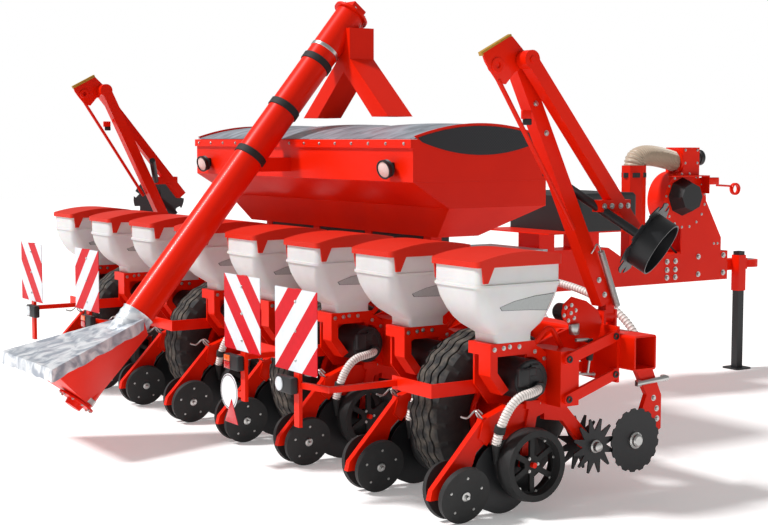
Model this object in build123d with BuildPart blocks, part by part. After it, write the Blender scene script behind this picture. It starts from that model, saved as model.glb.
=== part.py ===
from build123d import *
import os
from math import atan2, cos, degrees, hypot, radians, sin

# Eight-row trailed precision planter. Millimetres, +X right, +Y towards the tractor, +Z up.
# The origin is on the ground, at the middle of the machine's length and width.
os.makedirs("parts", exist_ok=True)

# Overall reach, measured from the toolbar's centre line
REAR_REACH = 2225.0
FRONT_REACH = 3980.0
TOOLBAR_Y = (REAR_REACH - FRONT_REACH) / 2
RUN = 0.3  # running clearance of pins and seats

# Rows, counted from the right
ROW_COUNT = 8
ROW_PITCH = 750.0
ROW_X = [ROW_PITCH * ((ROW_COUNT - 1) / 2 - i) for i in range(ROW_COUNT)]

# Toolbar beam
TOOLBAR_OVERHANG = 250.0
TOOLBAR_LENGTH = (ROW_COUNT - 1) * ROW_PITCH + 2 * TOOLBAR_OVERHANG
TOOLBAR_DEPTH = 150.0
TOOLBAR_HEIGHT = 180.0
TOOLBAR_WALL = 10.0
TOOLBAR_CORNER = 16.0
TOOLBAR_Z = 780.0
TOOLBAR_TOP = TOOLBAR_Z + TOOLBAR_HEIGHT / 2
TOOLBAR_BOTTOM = TOOLBAR_Z - TOOLBAR_HEIGHT / 2
BAR_FRONT = TOOLBAR_DEPTH / 2
BAR_REAR = -TOOLBAR_DEPTH / 2

# Drawbar, head and platform
DRAWBAR_WIDTH = 240.0
DRAWBAR_WALL = 8.0
DRAWBAR_BOTTOM = 745.0
DRAWBAR_TOP = 1050.0
DRAWBAR_WAIST = 935.0
DRAWBAR_SLOPE = (2250.0, 2450.0)
HEAD_REAR = 2790.0
HEAD_FRONT = 3530.0
HEAD_TOP = 975.0
HEAD_STEP = 70.0
PLATFORM_WIDTH = 800.0
PLATFORM_REAR = 1430.0
PLATFORM_FRONT = 2300.0
PLATFORM_TOP = 1200.0
PLATFORM_PLATE = 10.0
WALKWAY_WIDTH = 660.0
WALKWAY_REAR = 1080.0
WALKWAY_DEPTH = 400.0
WALKWAY_HEIGHT = 34.0

# Towing eye and jack
EYE_RADIUS = 75.0
EYE_BORE = 25.0
EYE_THICK = 60.0
EYE_Z = 850.0
NECK_WIDTH = 90.0
NECK_HEIGHT = 90.0
JACK_Y = 3700.0
JACK_SLEEVE = 80.0
JACK_SLEEVE_WALL = 8.0
JACK_SLEEVE_LOW = 640.0
JACK_SLEEVE_HIGH = 930.0
JACK_LEG_WALL = 6.0
JACK_LEG_TOP = 960.0
JACK_FOOT = 170.0
JACK_FOOT_THICK = 12.0

# Transport wheels
WHEEL_X = [3 * ROW_PITCH, ROW_PITCH, -ROW_PITCH, -3 * ROW_PITCH]
TYRE_RADIUS = 445.0
TYRE_WIDTH = 310.0
TYRE_WALL = 24.0
RIM_RADIUS = 195.0
RIM_WIDTH = 250.0
RIM_SHEET = 10.0
RIM_LIP = 18.0
HUB_RADIUS = 80.0
WHEEL_Y = -520.0
AXLE_RADIUS = 35.0
ARM_THICK = 34.0
ARM_SIDE = 166.0
ARM_DEPTH = 130.0
GUARD_BAR = 70.0
GUARD_THICK = 10.0
GUARD_Z = 620.0
GUARD_REAR = -1040.0
GUARD_LEFT = -140.0

# Fertiliser hopper
TANK_HALF = 1400.0
TANK_FOOT_HALF = 1180.0
TANK_TOP = 1864.0
TANK_WALL_END = 1616.0
TANK_CREASE = 1460.0
TANK_BOTTOM = 1275.0
TANK_REAR = -422.0
TANK_FRONT = 565.0
TANK_CREASE_REAR = -165.0
TANK_FOOT_REAR = -90.0
TANK_FOOT_FRONT = 215.0
TANK_SHEET = 5.0
TANK_LIP = 16.0
ROOF_CROWN = 1948.0
STAND_X = [1000.0, 330.0, -330.0, -1000.0]
STAND_TUBE = 80.0
STAND_WALL = 6.0
FERT_METER_DEPTH = 200.0
FERT_METER_HEIGHT = 100.0
FERT_METER_GAP = 10.0
FERT_HOSE_RADIUS = 22.0
FERT_HOSE_Y = 235.0
FERT_OUTLETS = (175.0, 420.0, 640.0, 860.0)  # X of the outlets, inner row first
FERT_HOSE_DROP = 90.0
FERT_HOSE_STEP = 50.0

# Filling auger
AUGER_X = -70.0
AUGER_RADIUS = 100.0
AUGER_WALL = 5.0
AUGER_SLOPE = 50.7
AUGER_MID = (-693.0, 1751.0)
AUGER_DOWN = 1560.0
AUGER_UP = 1215.0
AUGER_HOLD = (120.0, 230.0, 90.0)
AUGER_HOLD_Z = 1700.0
BOOT_HALF = 430.0
BOOT_FRONT = -1520.0
BOOT_REAR_Z = 550.0
BOOT_FRONT_Z = 760.0
BOOT_BOTTOM = 270.0
BOOT_FOOT = (240.0, 200.0)
BOOT_FOOT_Y = -1890.0
BOOT_SHEET = 4.0
TARP_THICK = 6.0
CHUTE = 190.0
CHUTE_WALL = 4.0
CHUTE_Y = 76.0
CHUTE_FORK_Z = 2395.0
CHUTE_TOP = 2600.0
CHUTE_NECK = 75.0
CHUTE_END_Z = 2010.0
CHUTE_END_X = 440.0

# Blower
FAN_Y = 3020.0
FAN_Z = 1390.0
FAN_RADIUS = 225.0
FAN_LEFT = -40.0
FAN_RIGHT = 150.0
FAN_SHEET = 6.0
PEDESTAL_PLATE = 12.0
FAN_PORT_Y = 3075.0
FAN_PORT_Z = 1800.0
COVER_RADIUS = 150.0
COVER_DEPTH = 110.0
COVER_Y = 2985.0
COVER_Z = 1420.0
DUCT_Y = 2555.0
DUCT_X = 60.0
DUCT_RADIUS = 95.0
DUCT_TOP = 1665.0
AIR_HOSE_RADIUS = 80.0
AIR_HOSE_RISE = 135.0
AIR_HOSE_BEND = 100.0
AIR_HOSE_END_Z = 1690.0
BOX_HALF = 400.0
BOX_REAR = 1700.0
BOX_FRONT = 2280.0
BOX_TOP = 1475.0
BOX_WALL = 22.0

# Row unit; X is measured from the row's furrow line
LINK_SIDE = 140.0
LINK_THICK = 20.0
LINK_WIDTH = 54.0
LINK_REAR_Y = -427.0
LINK_FRONT_Y = -118.0
LINK_PINS = ((771.0, 864.0), (569.0, 668.0))  # rear pin Z, front pin Z
MOUNT_PLATE = 16.0
MOUNT_LOW = 620.0
MOUNT_HIGH = 910.0
FRAME_LEFT = -156.0
FRAME_RIGHT = 25.0
FRAME_PLATE = 14.0
FRAME_TOP = 860.0
FRAME_REAR = -820.0
ARCH_Y = -590.0
ARCH_Z = 665.0
ARCH_OUT = 178.0
ARCH_IN = 118.0
ARCH_BAR = 65.0
POST_FACE = 95.0
HANDLE = ((-532.0, 845.0), (-440.0, 937.0), (-355.0, 800.0))  # Y, Z of its feet and crown
HANDLE_RADIUS = 13.0
HEAD_LOW = 530.0
HEAD_DEPTH = 120.0
METER_Y = -600.0
METER_Z = 670.0
METER_RADIUS = 104.0
METER_OUT = 70.0
SPINE_HALF = 28.0
SHANK_HALF = 12.0
DISC_Y = -735.0
DISC_RADIUS = 185.0
DISC_THICK = 4.0
DISC_SIDE = 20.0
DISC_HUB = 45.0
DISC_CLEAR = 5.0
GAUGE_Y = -617.0
GAUGE_Z = 252.0
GAUGE_RADIUS = 187.0
GAUGE_INNER = 50.0
GAUGE_OUTER = 148.0
GAUGE_PIN = 14.0
GAUGE_SPOKE = 28.0
CLOSING_Y = -1007.0
CLOSING_RADIUS = 143.0
CLOSING_WIDTH = 30.0
CLOSING_TILT = 12.0
CLOSING_HALF_GAP = 66.0
CLOSING_BORE = 14.0
STUB_INSIDE = 58.0

# Seed hopper and lid
SEED_LEFT = -260.0
SEED_RIGHT = 120.0
SEED_REAR = -967.0
SEED_FRONT = -447.0
SEED_NECK_REAR = -785.0
SEED_NECK_FRONT = -560.0
SEED_BELLY = 990.0
SEED_LEDGE = 8.0
SEED_SHOULDER = 1150.0
SEED_TOP = 1250.0
SEED_SHEET = 5.0
SEED_CORNER = 45.0
LID_OVERHANG = 12.0
LID_REAR = 28.0
LID_FRONT = 46.0
LID_CROWN = 70.0
LID_CROWN_Y = -640.0
LID_CORNER = 30.0
LID_EAR = 8.0
HINGE_Y = SEED_FRONT + 26.0
HINGE_Z = SEED_TOP + 12.0
HINGE_PIN = 6.0
HINGE_BARREL = 13.0

# Coulters ahead of the row
FERT_DISC_SIDE = 75.0
FERT_DISC_Y = 103.0
FERT_DISC_Z = 287.0
FERT_DISC_RADIUS = 170.0
FERT_DISC_NOTCHES = 17
FERT_ARM_THICK = 30.0
STAR_SIDE = 60.0
STAR_Y = -167.0
STAR_Z = 285.0
STAR_RADIUS = 145.0
STAR_ROOT = 80.0
STAR_TEETH = 12
STAR_THICK = 8.0

# Warning boards: X, Y
BOARD_SIZE = 423.0
BOARD_THICK = 4.0
BOARD_Z = 900.0
BOARDS = ((1930.0, -1507.0), (1140.0, -1397.0), (-1140.0, -1397.0), (-1930.0, -1507.0))
POST_WIDTH = 50.0
POST_DEPTH = 20.0
POST_LOW = 405.0
SIGN_OUT = 165.0
SIGN_Z = 437.0
SIGN_RADIUS = 102.0
TRIANGLE_RADIUS = 92.0
ARM_BAR = 30.0
LAMP_SIZE = (180.0, 55.0, 90.0)
LAMP_Z = 620.0
LAMP_SHIFT = 65.0

# Markers; the right-hand one, mirrored for the left
MARKER_X = 2600.0
MARKER_Y = -20.0
MARKER_Z = 945.0
MARKER_TOP = (-640.0, 2250.0)
MARKER_TUBE = 80.0
MARKER_WALL = 6.0
MARKER_PIN = 15.0
MARKER_KNUCKLE = 34.0
MARKER_KNUCKLE_HALF = 30.0
MARKER_LUG = 15.0
BOOM_SIDE = 66.0
BOOM_TUBE = 70.0
BOOM_FOOT = (60.0, 1400.0)
MARK_DISC = (2900.0, -50.0, 1370.0)
MARK_AXIS = (0.74, 0.42, -0.525)
MARK_ROD = 620.0
MARK_ROD_RADIUS = 22.0
MARK_CUP_RADIUS = 145.0
MARK_CUP_DEPTH = 110.0
MARK_BLADE_RADIUS = 210.0
MARK_NOTCHES = 9


def side(x):
    """Plane across the machine at x: local x is Y from the toolbar, local y is Z."""
    return Plane(origin=(x, TOOLBAR_Y, 0), x_dir=(0, 1, 0), z_dir=(1, 0, 0))


def at(x, y, z):
    """Point given from the toolbar's centre line."""
    return (x, TOOLBAR_Y + y, z)


def level(z, x=0.0, y=0.0):
    """Horizontal plane at height z."""
    return Plane(origin=at(x, y, z))


def along(start, end):
    """Plane at start that faces end, both points given from the toolbar."""
    direction = [b - a for a, b in zip(start, end)]
    across = (1, 0, 0) if direction[1] or direction[2] else (0, 1, 0)
    return Plane(origin=at(*start), x_dir=across, z_dir=direction)


def span(start, end):
    """Distance between two points."""
    return hypot(*[b - a for a, b in zip(start, end)])


def save(piece, name):
    piece.part.label = name
    export_step(piece.part, f"parts/{name}.step")


# Toolbar: rectangular box beam with the brackets of the two markers
with BuildPart() as toolbar:
    with BuildSketch(side(-TOOLBAR_LENGTH / 2)):
        with Locations((0, TOOLBAR_Z)):
            RectangleRounded(TOOLBAR_DEPTH, TOOLBAR_HEIGHT, TOOLBAR_CORNER)
            Rectangle(
                TOOLBAR_DEPTH - 2 * TOOLBAR_WALL,
                TOOLBAR_HEIGHT - 2 * TOOLBAR_WALL,
                mode=Mode.SUBTRACT,
            )
    extrude(amount=TOOLBAR_LENGTH)
    lug_height = MARKER_Z + MARKER_KNUCKLE - TOOLBAR_TOP
    lug_shift = MARKER_KNUCKLE_HALF + RUN + MARKER_LUG / 2
    for hand in (-1, 1):
        with Locations(
            at(hand * MARKER_X, MARKER_Y - lug_shift, TOOLBAR_TOP),
            at(hand * MARKER_X, MARKER_Y + lug_shift, TOOLBAR_TOP),
        ):
            Box(
                2 * MARKER_KNUCKLE,
                MARKER_LUG,
                lug_height,
                align=(Align.CENTER, Align.CENTER, Align.MIN),
            )
        with Locations(Location(at(hand * MARKER_X, MARKER_Y, MARKER_Z), (90, 0, 0))):
            Cylinder(MARKER_PIN, 2 * (lug_shift + MARKER_LUG))
save(toolbar, "toolbar")


def drawbar_outline(inset):
    """Side view of the drawbar, inset by a wall, open at the toolbar."""
    low = DRAWBAR_BOTTOM + inset
    return [
        (BAR_FRONT, low),
        (HEAD_FRONT - inset, low),
        (HEAD_FRONT - inset, HEAD_TOP - inset),
        (HEAD_REAR + inset, HEAD_TOP - inset),
        (HEAD_REAR - HEAD_STEP + inset, DRAWBAR_WAIST - inset),
        (DRAWBAR_SLOPE[1], DRAWBAR_WAIST - inset),
        (DRAWBAR_SLOPE[0], DRAWBAR_TOP - inset),
        (BAR_FRONT, DRAWBAR_TOP - inset),
    ]


jack_x = NECK_WIDTH / 2 + JACK_SLEEVE / 2
jack_leg_side = JACK_SLEEVE - 2 * JACK_SLEEVE_WALL - 2 * RUN

# Drawbar: welded box beam with its head and the platform of the equipment box
with BuildPart() as drawbar:
    for inset, mode in ((0, Mode.ADD), (DRAWBAR_WALL, Mode.SUBTRACT)):
        with BuildSketch(side(-DRAWBAR_WIDTH / 2 + inset)):
            with BuildLine():
                Polyline(*drawbar_outline(inset), close=True)
            make_face()
        extrude(amount=DRAWBAR_WIDTH - 2 * inset, mode=mode)
    platform_length = PLATFORM_FRONT - PLATFORM_REAR
    with Locations(at(0, PLATFORM_REAR, PLATFORM_TOP)):
        Box(
            PLATFORM_WIDTH,
            platform_length,
            PLATFORM_PLATE,
            align=(Align.CENTER, Align.MIN, Align.MAX),
        )
    with Locations(
        at(0, PLATFORM_REAR + platform_length / 4, DRAWBAR_TOP),
        at(0, PLATFORM_FRONT - platform_length / 4, DRAWBAR_TOP),
    ):
        Box(
            DRAWBAR_WIDTH,
            platform_length / 6,
            PLATFORM_TOP - DRAWBAR_TOP,
            align=(Align.CENTER, Align.CENTER, Align.MIN),
        )
save(drawbar, "drawbar")

# Walkway: galvanised step across the drawbar
with BuildPart() as walkway:
    with Locations(at(0, WALKWAY_REAR, DRAWBAR_TOP)):
        Box(WALKWAY_WIDTH, WALKWAY_DEPTH, WALKWAY_HEIGHT, align=(Align.CENTER, Align.MIN, Align.MIN))
save(walkway, "walkway")

# Hitch: neck, towing eye and the jack's sleeve
eye_y = FRONT_REACH - EYE_RADIUS
with BuildPart() as hitch:
    with Locations(at(0, HEAD_FRONT, EYE_Z)):
        Box(
            NECK_WIDTH,
            eye_y - HEAD_FRONT,
            NECK_HEIGHT,
            align=(Align.CENTER, Align.MIN, Align.CENTER),
        )
    with Locations(at(0, eye_y, EYE_Z)):
        Cylinder(EYE_RADIUS, EYE_THICK)
        Cylinder(EYE_RADIUS, NECK_HEIGHT, mode=Mode.SUBTRACT)
        Cylinder(EYE_RADIUS, EYE_THICK)
        Cylinder(EYE_BORE, EYE_THICK, mode=Mode.SUBTRACT)
    with BuildSketch(level(JACK_SLEEVE_LOW, jack_x, JACK_Y)):
        Rectangle(JACK_SLEEVE, JACK_SLEEVE)
        Rectangle(
            JACK_SLEEVE - 2 * JACK_SLEEVE_WALL,
            JACK_SLEEVE - 2 * JACK_SLEEVE_WALL,
            mode=Mode.SUBTRACT,
        )
    extrude(amount=JACK_SLEEVE_HIGH - JACK_SLEEVE_LOW)
save(hitch, "hitch")

# Jack leg: square tube on a foot plate
with BuildPart() as jack_leg:
    with BuildSketch(level(0, jack_x, JACK_Y)):
        RectangleRounded(JACK_FOOT, JACK_FOOT, JACK_FOOT / 8)
    extrude(amount=JACK_FOOT_THICK)
    with BuildSketch(level(JACK_FOOT_THICK, jack_x, JACK_Y)):
        Rectangle(jack_leg_side, jack_leg_side)
        Rectangle(
            jack_leg_side - 2 * JACK_LEG_WALL, jack_leg_side - 2 * JACK_LEG_WALL, mode=Mode.SUBTRACT
        )
    extrude(amount=JACK_LEG_TOP - JACK_FOOT_THICK)
save(jack_leg, "jack_leg")

# Wheel arms: side plates behind the toolbar with stub axles, and the tyre guards
arm_far = ARM_SIDE + ARM_THICK
with BuildPart() as wheel_arm:
    with BuildSketch(side(ARM_SIDE)):
        with BuildLine():
            Polyline(
                (BAR_REAR, TOOLBAR_TOP),
                (BAR_REAR, TOOLBAR_BOTTOM),
                (WHEEL_Y + ARM_DEPTH / 2, TYRE_RADIUS - ARM_DEPTH / 2),
                (WHEEL_Y - ARM_DEPTH / 2, TYRE_RADIUS - ARM_DEPTH / 2),
                (WHEEL_Y - ARM_DEPTH / 2, GUARD_Z + GUARD_BAR / 2),
                (BAR_REAR - ARM_DEPTH, TOOLBAR_TOP),
                close=True,
            )
        make_face()
    extrude(amount=ARM_THICK)
    with BuildSketch(side(-RIM_WIDTH / 4)):
        with Locations((WHEEL_Y, TYRE_RADIUS)):
            Circle(AXLE_RADIUS)
    extrude(amount=RIM_WIDTH / 4 + ARM_SIDE)
    guard_run = WHEEL_Y - GUARD_REAR
    with Locations(at(arm_far, WHEEL_Y + ARM_DEPTH / 2, GUARD_Z)):
        Box(
            GUARD_THICK,
            guard_run + ARM_DEPTH / 2,
            GUARD_BAR,
            align=(Align.MIN, Align.MAX, Align.CENTER),
        )
    with Locations(at(GUARD_LEFT, GUARD_REAR, GUARD_Z)):
        Box(
            arm_far + GUARD_THICK - GUARD_LEFT,
            GUARD_THICK,
            GUARD_BAR,
            align=(Align.MIN, Align.MIN, Align.CENTER),
        )
with BuildPart() as wheel_arms:
    with Locations(*[(x, 0, 0) for x in WHEEL_X]):
        add(wheel_arm.part)
save(wheel_arms, "wheel_arms")

# Transport wheels: hollow tyre on a steel rim with its disc and hub
wheel_axis = Axis(at(0, WHEEL_Y, TYRE_RADIUS), (1, 0, 0))
tread_half = TYRE_WIDTH * 0.42
shoulder = TYRE_RADIUS - 35
bead_half = RIM_WIDTH / 2 - RIM_LIP
with BuildPart() as tyre:
    with BuildSketch(Plane(origin=at(0, WHEEL_Y, TYRE_RADIUS), x_dir=(1, 0, 0), z_dir=(0, -1, 0))):
        with BuildLine():
            Polyline(
                (-bead_half, RIM_RADIUS + RUN),
                (-bead_half, RIM_RADIUS + RIM_LIP + 4),
                (-TYRE_WIDTH / 2, RIM_RADIUS + 95),
                (-TYRE_WIDTH / 2, shoulder - 40),
                (-tread_half, shoulder + 20),
                (-tread_half / 2, TYRE_RADIUS),
                (tread_half / 2, TYRE_RADIUS),
                (tread_half, shoulder + 20),
                (TYRE_WIDTH / 2, shoulder - 40),
                (TYRE_WIDTH / 2, RIM_RADIUS + 95),
                (bead_half, RIM_RADIUS + RIM_LIP + 4),
                (bead_half, RIM_RADIUS + RUN),
                (bead_half - TYRE_WALL, RIM_RADIUS + RUN),
                (TYRE_WIDTH / 2 - TYRE_WALL, RIM_RADIUS + 95),
                (tread_half - TYRE_WALL / 2, TYRE_RADIUS - 1.6 * TYRE_WALL),
                (-tread_half + TYRE_WALL / 2, TYRE_RADIUS - 1.6 * TYRE_WALL),
                (-TYRE_WIDTH / 2 + TYRE_WALL, RIM_RADIUS + 95),
                (-bead_half + TYRE_WALL, RIM_RADIUS + RUN),
                close=True,
            )
        make_face()
    revolve(axis=wheel_axis)
hub_end = ARM_SIDE - 8
with BuildPart() as rim:
    with BuildSketch(Plane(origin=at(0, WHEEL_Y, TYRE_RADIUS), x_dir=(1, 0, 0), z_dir=(0, -1, 0))):
        with BuildLine():
            Polyline(
                (-RIM_WIDTH / 2, RIM_RADIUS + RIM_LIP),
                (-bead_half - RUN, RIM_RADIUS + RIM_LIP),
                (-bead_half - RUN, RIM_RADIUS),
                (bead_half + RUN, RIM_RADIUS),
                (bead_half + RUN, RIM_RADIUS + RIM_LIP),
                (RIM_WIDTH / 2, RIM_RADIUS + RIM_LIP),
                (RIM_WIDTH / 2, RIM_RADIUS - RIM_SHEET),
                (RIM_SHEET, RIM_RADIUS - RIM_SHEET),
                (RIM_SHEET, HUB_RADIUS),
                (hub_end, HUB_RADIUS),
                (hub_end, AXLE_RADIUS + RUN),
                (-RIM_WIDTH / 4 - RUN, AXLE_RADIUS + RUN),
                (-RIM_WIDTH / 4 - RUN, 0),
                (-RIM_WIDTH / 4 - 30, 0),
                (-RIM_WIDTH / 4 - 30, HUB_RADIUS),
                (-RIM_SHEET, HUB_RADIUS),
                (-RIM_SHEET, RIM_RADIUS - RIM_SHEET),
                (-RIM_WIDTH / 2, RIM_RADIUS - RIM_SHEET),
                close=True,
            )
        make_face()
    revolve(axis=wheel_axis)
for number, x in enumerate(WHEEL_X, 1):
    for piece, kind in ((tyre, "tyre"), (rim, "rim")):
        with BuildPart() as placed:
            with Locations((x, 0, 0)):
                add(piece.part)
        save(placed, f"{kind}_{number}")


def tank_section(z, inset):
    """Half width and Y limits of the fertiliser hopper at one of its creases."""
    half, rear, front = {
        TANK_WALL_END: (TANK_HALF, TANK_REAR, TANK_FRONT),
        TANK_CREASE: (TANK_HALF, TANK_CREASE_REAR, TANK_FRONT),
        TANK_BOTTOM: (TANK_FOOT_HALF, TANK_FOOT_REAR, TANK_FOOT_FRONT),
    }[z]
    with BuildSketch(level(z, 0, (rear + front) / 2)) as section:
        Rectangle(2 * (half - inset), front - rear - 2 * inset)
    return section.sketch


# Fertiliser hopper: folded funnel with four wall sheets on its edge, open at the top
wall_height = TANK_TOP - TANK_WALL_END - RUN
with BuildPart() as fertiliser_hopper:
    for inset, mode in ((0, Mode.ADD), (TANK_SHEET, Mode.SUBTRACT)):
        for high, low in ((TANK_WALL_END, TANK_CREASE), (TANK_CREASE, TANK_BOTTOM)):
            loft([tank_section(low, inset), tank_section(high, inset)], ruled=True, mode=mode)
    with Locations(at(0, (TANK_FOOT_REAR + TANK_FOOT_FRONT) / 2, TANK_BOTTOM)):
        Box(
            2 * TANK_FOOT_HALF,
            TANK_FOOT_FRONT - TANK_FOOT_REAR,
            TANK_SHEET,
            align=(Align.CENTER, Align.CENTER, Align.MIN),
        )
    for wall_y, inward, outward in ((TANK_REAR, Align.MIN, Align.MAX), (TANK_FRONT, Align.MAX, Align.MIN)):
        with Locations(at(0, wall_y, TANK_TOP)):
            Box(2 * TANK_HALF, TANK_SHEET, wall_height, align=(Align.CENTER, inward, Align.MAX))
            Box(2 * TANK_HALF, TANK_LIP, 50, align=(Align.CENTER, outward, Align.MAX))
    for wall_x, inward in ((-TANK_HALF, Align.MIN), (TANK_HALF, Align.MAX)):
        with Locations(at(wall_x, (TANK_REAR + TANK_FRONT) / 2, TANK_TOP)):
            Box(
                TANK_SHEET,
                TANK_FRONT - TANK_REAR - 2 * (TANK_SHEET + RUN),
                wall_height,
                align=(inward, Align.CENTER, Align.MAX),
            )
save(fertiliser_hopper, "fertiliser_hopper")

# Hopper stand: square legs from the toolbar to the hopper's foot
with BuildPart() as hopper_stand:
    for x in STAND_X:
        with BuildSketch(level(TOOLBAR_TOP, x, 0)):
            Rectangle(STAND_TUBE, STAND_TUBE)
            Rectangle(STAND_TUBE - 2 * STAND_WALL, STAND_TUBE - 2 * STAND_WALL, mode=Mode.SUBTRACT)
        extrude(amount=TANK_BOTTOM - TOOLBAR_TOP)
save(hopper_stand, "hopper_stand")

# Fertiliser meters: one box for each span between two legs
METER_BAYS = list(zip(STAND_X[:-1], STAND_X[1:]))
fert_meter_y = (TANK_FOOT_REAR + TANK_FOOT_FRONT) / 2
with BuildPart() as fertiliser_meters:
    for right, left in METER_BAYS:
        with Locations(at((right + left) / 2, fert_meter_y, TANK_BOTTOM)):
            Box(
                right - left - STAND_TUBE - 2 * FERT_METER_GAP,
                FERT_METER_DEPTH,
                FERT_METER_HEIGHT,
                align=(Align.CENTER, Align.CENTER, Align.MAX),
            )
save(fertiliser_meters, "fertiliser_meters")

# Tarpaulins: arched roof of the hopper and flat cover of the auger's boot
boot_slope = (0, BOOT_FRONT + REAR_REACH, BOOT_FRONT_Z - BOOT_REAR_Z)
boot_length = hypot(*boot_slope)
boot_top = Plane(
    origin=at(AUGER_X, (BOOT_FRONT - REAR_REACH) / 2, (BOOT_FRONT_Z + BOOT_REAR_Z) / 2),
    x_dir=(1, 0, 0),
    z_dir=(0, -boot_slope[2], boot_slope[1]),
)
auger_rise = radians(AUGER_SLOPE)


def on_auger(distance):
    """Point of the auger's axis, measured upwards from its middle."""
    y, z = AUGER_MID
    return (AUGER_X, y + distance * cos(auger_rise), z + distance * sin(auger_rise))


auger_foot = along(on_auger(-AUGER_DOWN), on_auger(0))
with BuildPart() as tarpaulins:
    for inset, mode in ((0, Mode.ADD), (TARP_THICK, Mode.SUBTRACT)):
        rear = (TANK_REAR + 5 * inset, TANK_TOP + RUN)
        front = (TANK_FRONT - 5 * inset, TANK_TOP + RUN)
        with BuildSketch(side(inset - TANK_HALF)):
            with BuildLine():
                ThreePointArc(rear, ((TANK_REAR + TANK_FRONT) / 2, ROOF_CROWN - inset), front)
                Line(front, rear)
            make_face()
        extrude(amount=2 * (TANK_HALF - inset), mode=mode)
    with BuildSketch(boot_top.offset(RUN)):
        Rectangle(2 * BOOT_HALF, boot_length - 2 * TARP_THICK)
    extrude(amount=TARP_THICK)
    with BuildSketch(auger_foot):
        Circle(AUGER_RADIUS + RUN)
    extrude(amount=AUGER_DOWN, mode=Mode.SUBTRACT)
save(tarpaulins, "tarpaulins")

# Auger tube with its two-way chute and the bracket that holds it to the hopper's rear wall
with BuildPart() as auger_tube:
    for inset, mode in ((0, Mode.ADD), (CHUTE_WALL, Mode.SUBTRACT)):
        half = CHUTE / 2 - inset
        crotch = CHUTE_FORK_Z - (CHUTE_FORK_Z - CHUTE_END_Z) * half / CHUTE_END_X
        with BuildSketch(
            Plane(origin=at(0, CHUTE_Y + half, 0), x_dir=(1, 0, 0), z_dir=(0, -1, 0))
        ):
            with BuildLine():
                Polyline(
                    (CHUTE_NECK - inset, CHUTE_TOP),
                    (CHUTE_NECK - inset, CHUTE_FORK_Z),
                    (CHUTE_END_X + half, CHUTE_END_Z),
                    (CHUTE_END_X - half, CHUTE_END_Z),
                    (0, crotch),
                    (half - CHUTE_END_X, CHUTE_END_Z),
                    (-CHUTE_END_X - half, CHUTE_END_Z),
                    (inset - CHUTE_NECK, CHUTE_FORK_Z),
                    (inset - CHUTE_NECK, CHUTE_TOP),
                    close=True,
                )
            make_face()
        extrude(amount=2 * half, mode=mode)
    with Locations(at(AUGER_X, TANK_REAR, AUGER_HOLD_Z)):
        Box(*AUGER_HOLD, align=(Align.CENTER, Align.MAX, Align.CENTER))
    for radius, mode in ((AUGER_RADIUS, Mode.ADD), (AUGER_RADIUS - AUGER_WALL, Mode.SUBTRACT)):
        with BuildSketch(auger_foot):
            Circle(radius)
        extrude(amount=AUGER_DOWN + AUGER_UP, mode=mode)
save(auger_tube, "auger_tube")

# Auger boot: sheet funnel under its cover, cut where the tube comes out
with BuildPart() as auger_boot:
    for inset, mode in ((0, Mode.ADD), (BOOT_SHEET, Mode.SUBTRACT)):
        with BuildSketch(boot_top) as boot_mouth:
            Rectangle(2 * (BOOT_HALF - inset), boot_length - 2 * inset)
        with BuildSketch(level(BOOT_BOTTOM + inset, AUGER_X, BOOT_FOOT_Y)) as boot_base:
            Rectangle(BOOT_FOOT[0] - 2 * inset, BOOT_FOOT[1] - 2 * inset)
        loft([boot_base.sketch, boot_mouth.sketch], ruled=True, mode=mode)
    with BuildSketch(auger_foot):
        Circle(AUGER_RADIUS + RUN)
    extrude(amount=AUGER_DOWN, mode=Mode.SUBTRACT)
save(auger_boot, "auger_boot")

# Auger head: motor flange at the tube's top
auger_top = along(on_auger(AUGER_UP), on_auger(AUGER_UP + 1))
with BuildPart() as auger_head:
    with BuildSketch(auger_top):
        Circle(AUGER_RADIUS + 25)
    extrude(amount=16)
    with BuildSketch(auger_top.offset(16)):
        Rectangle(110, 110)
    extrude(amount=60)
save(auger_head, "auger_head")

# Blower: hollow scroll on its pedestal, and the six-sided air duct behind it
port_half = AIR_HOSE_RADIUS + 8
fan_width = FAN_RIGHT - FAN_LEFT
fan_mid = (FAN_LEFT + FAN_RIGHT) / 2
with BuildPart() as blower:
    for inset, mode in ((0, Mode.ADD), (PEDESTAL_PLATE, Mode.SUBTRACT)):
        with BuildSketch(side(FAN_LEFT + inset)):
            with BuildLine():
                Polyline(
                    (FAN_Y - 40, HEAD_TOP),
                    (FAN_Y + 400, HEAD_TOP),
                    (FAN_Y + 400, HEAD_TOP + 110),
                    (FAN_Y + FAN_RADIUS - 4, FAN_Z),
                    (FAN_Y + FAN_RADIUS - 60, FAN_Z - 120),
                    (FAN_Y - 40, FAN_Z - FAN_RADIUS + 8),
                    close=True,
                )
            make_face()
        extrude(amount=fan_width - 2 * inset, mode=mode)
    for inset, mode in ((0, Mode.ADD), (FAN_SHEET, Mode.SUBTRACT)):
        with BuildSketch(level(FAN_Z, fan_mid, FAN_PORT_Y)):
            Rectangle(fan_width - 2 * inset, 2 * (port_half - inset))
        extrude(amount=FAN_PORT_Z - FAN_Z - inset, mode=mode)
        with BuildSketch(side(FAN_LEFT + inset)):
            with Locations((FAN_Y, FAN_Z)):
                Circle(FAN_RADIUS - inset)
        extrude(amount=fan_width - 2 * inset, mode=mode)
    with BuildSketch(level(DRAWBAR_WAIST, DUCT_X, DUCT_Y)):
        RegularPolygon(DUCT_RADIUS, 6)
        RegularPolygon(DUCT_RADIUS - FAN_SHEET, 6, mode=Mode.SUBTRACT)
    extrude(amount=DUCT_TOP - DRAWBAR_WAIST)
save(blower, "blower")

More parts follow.
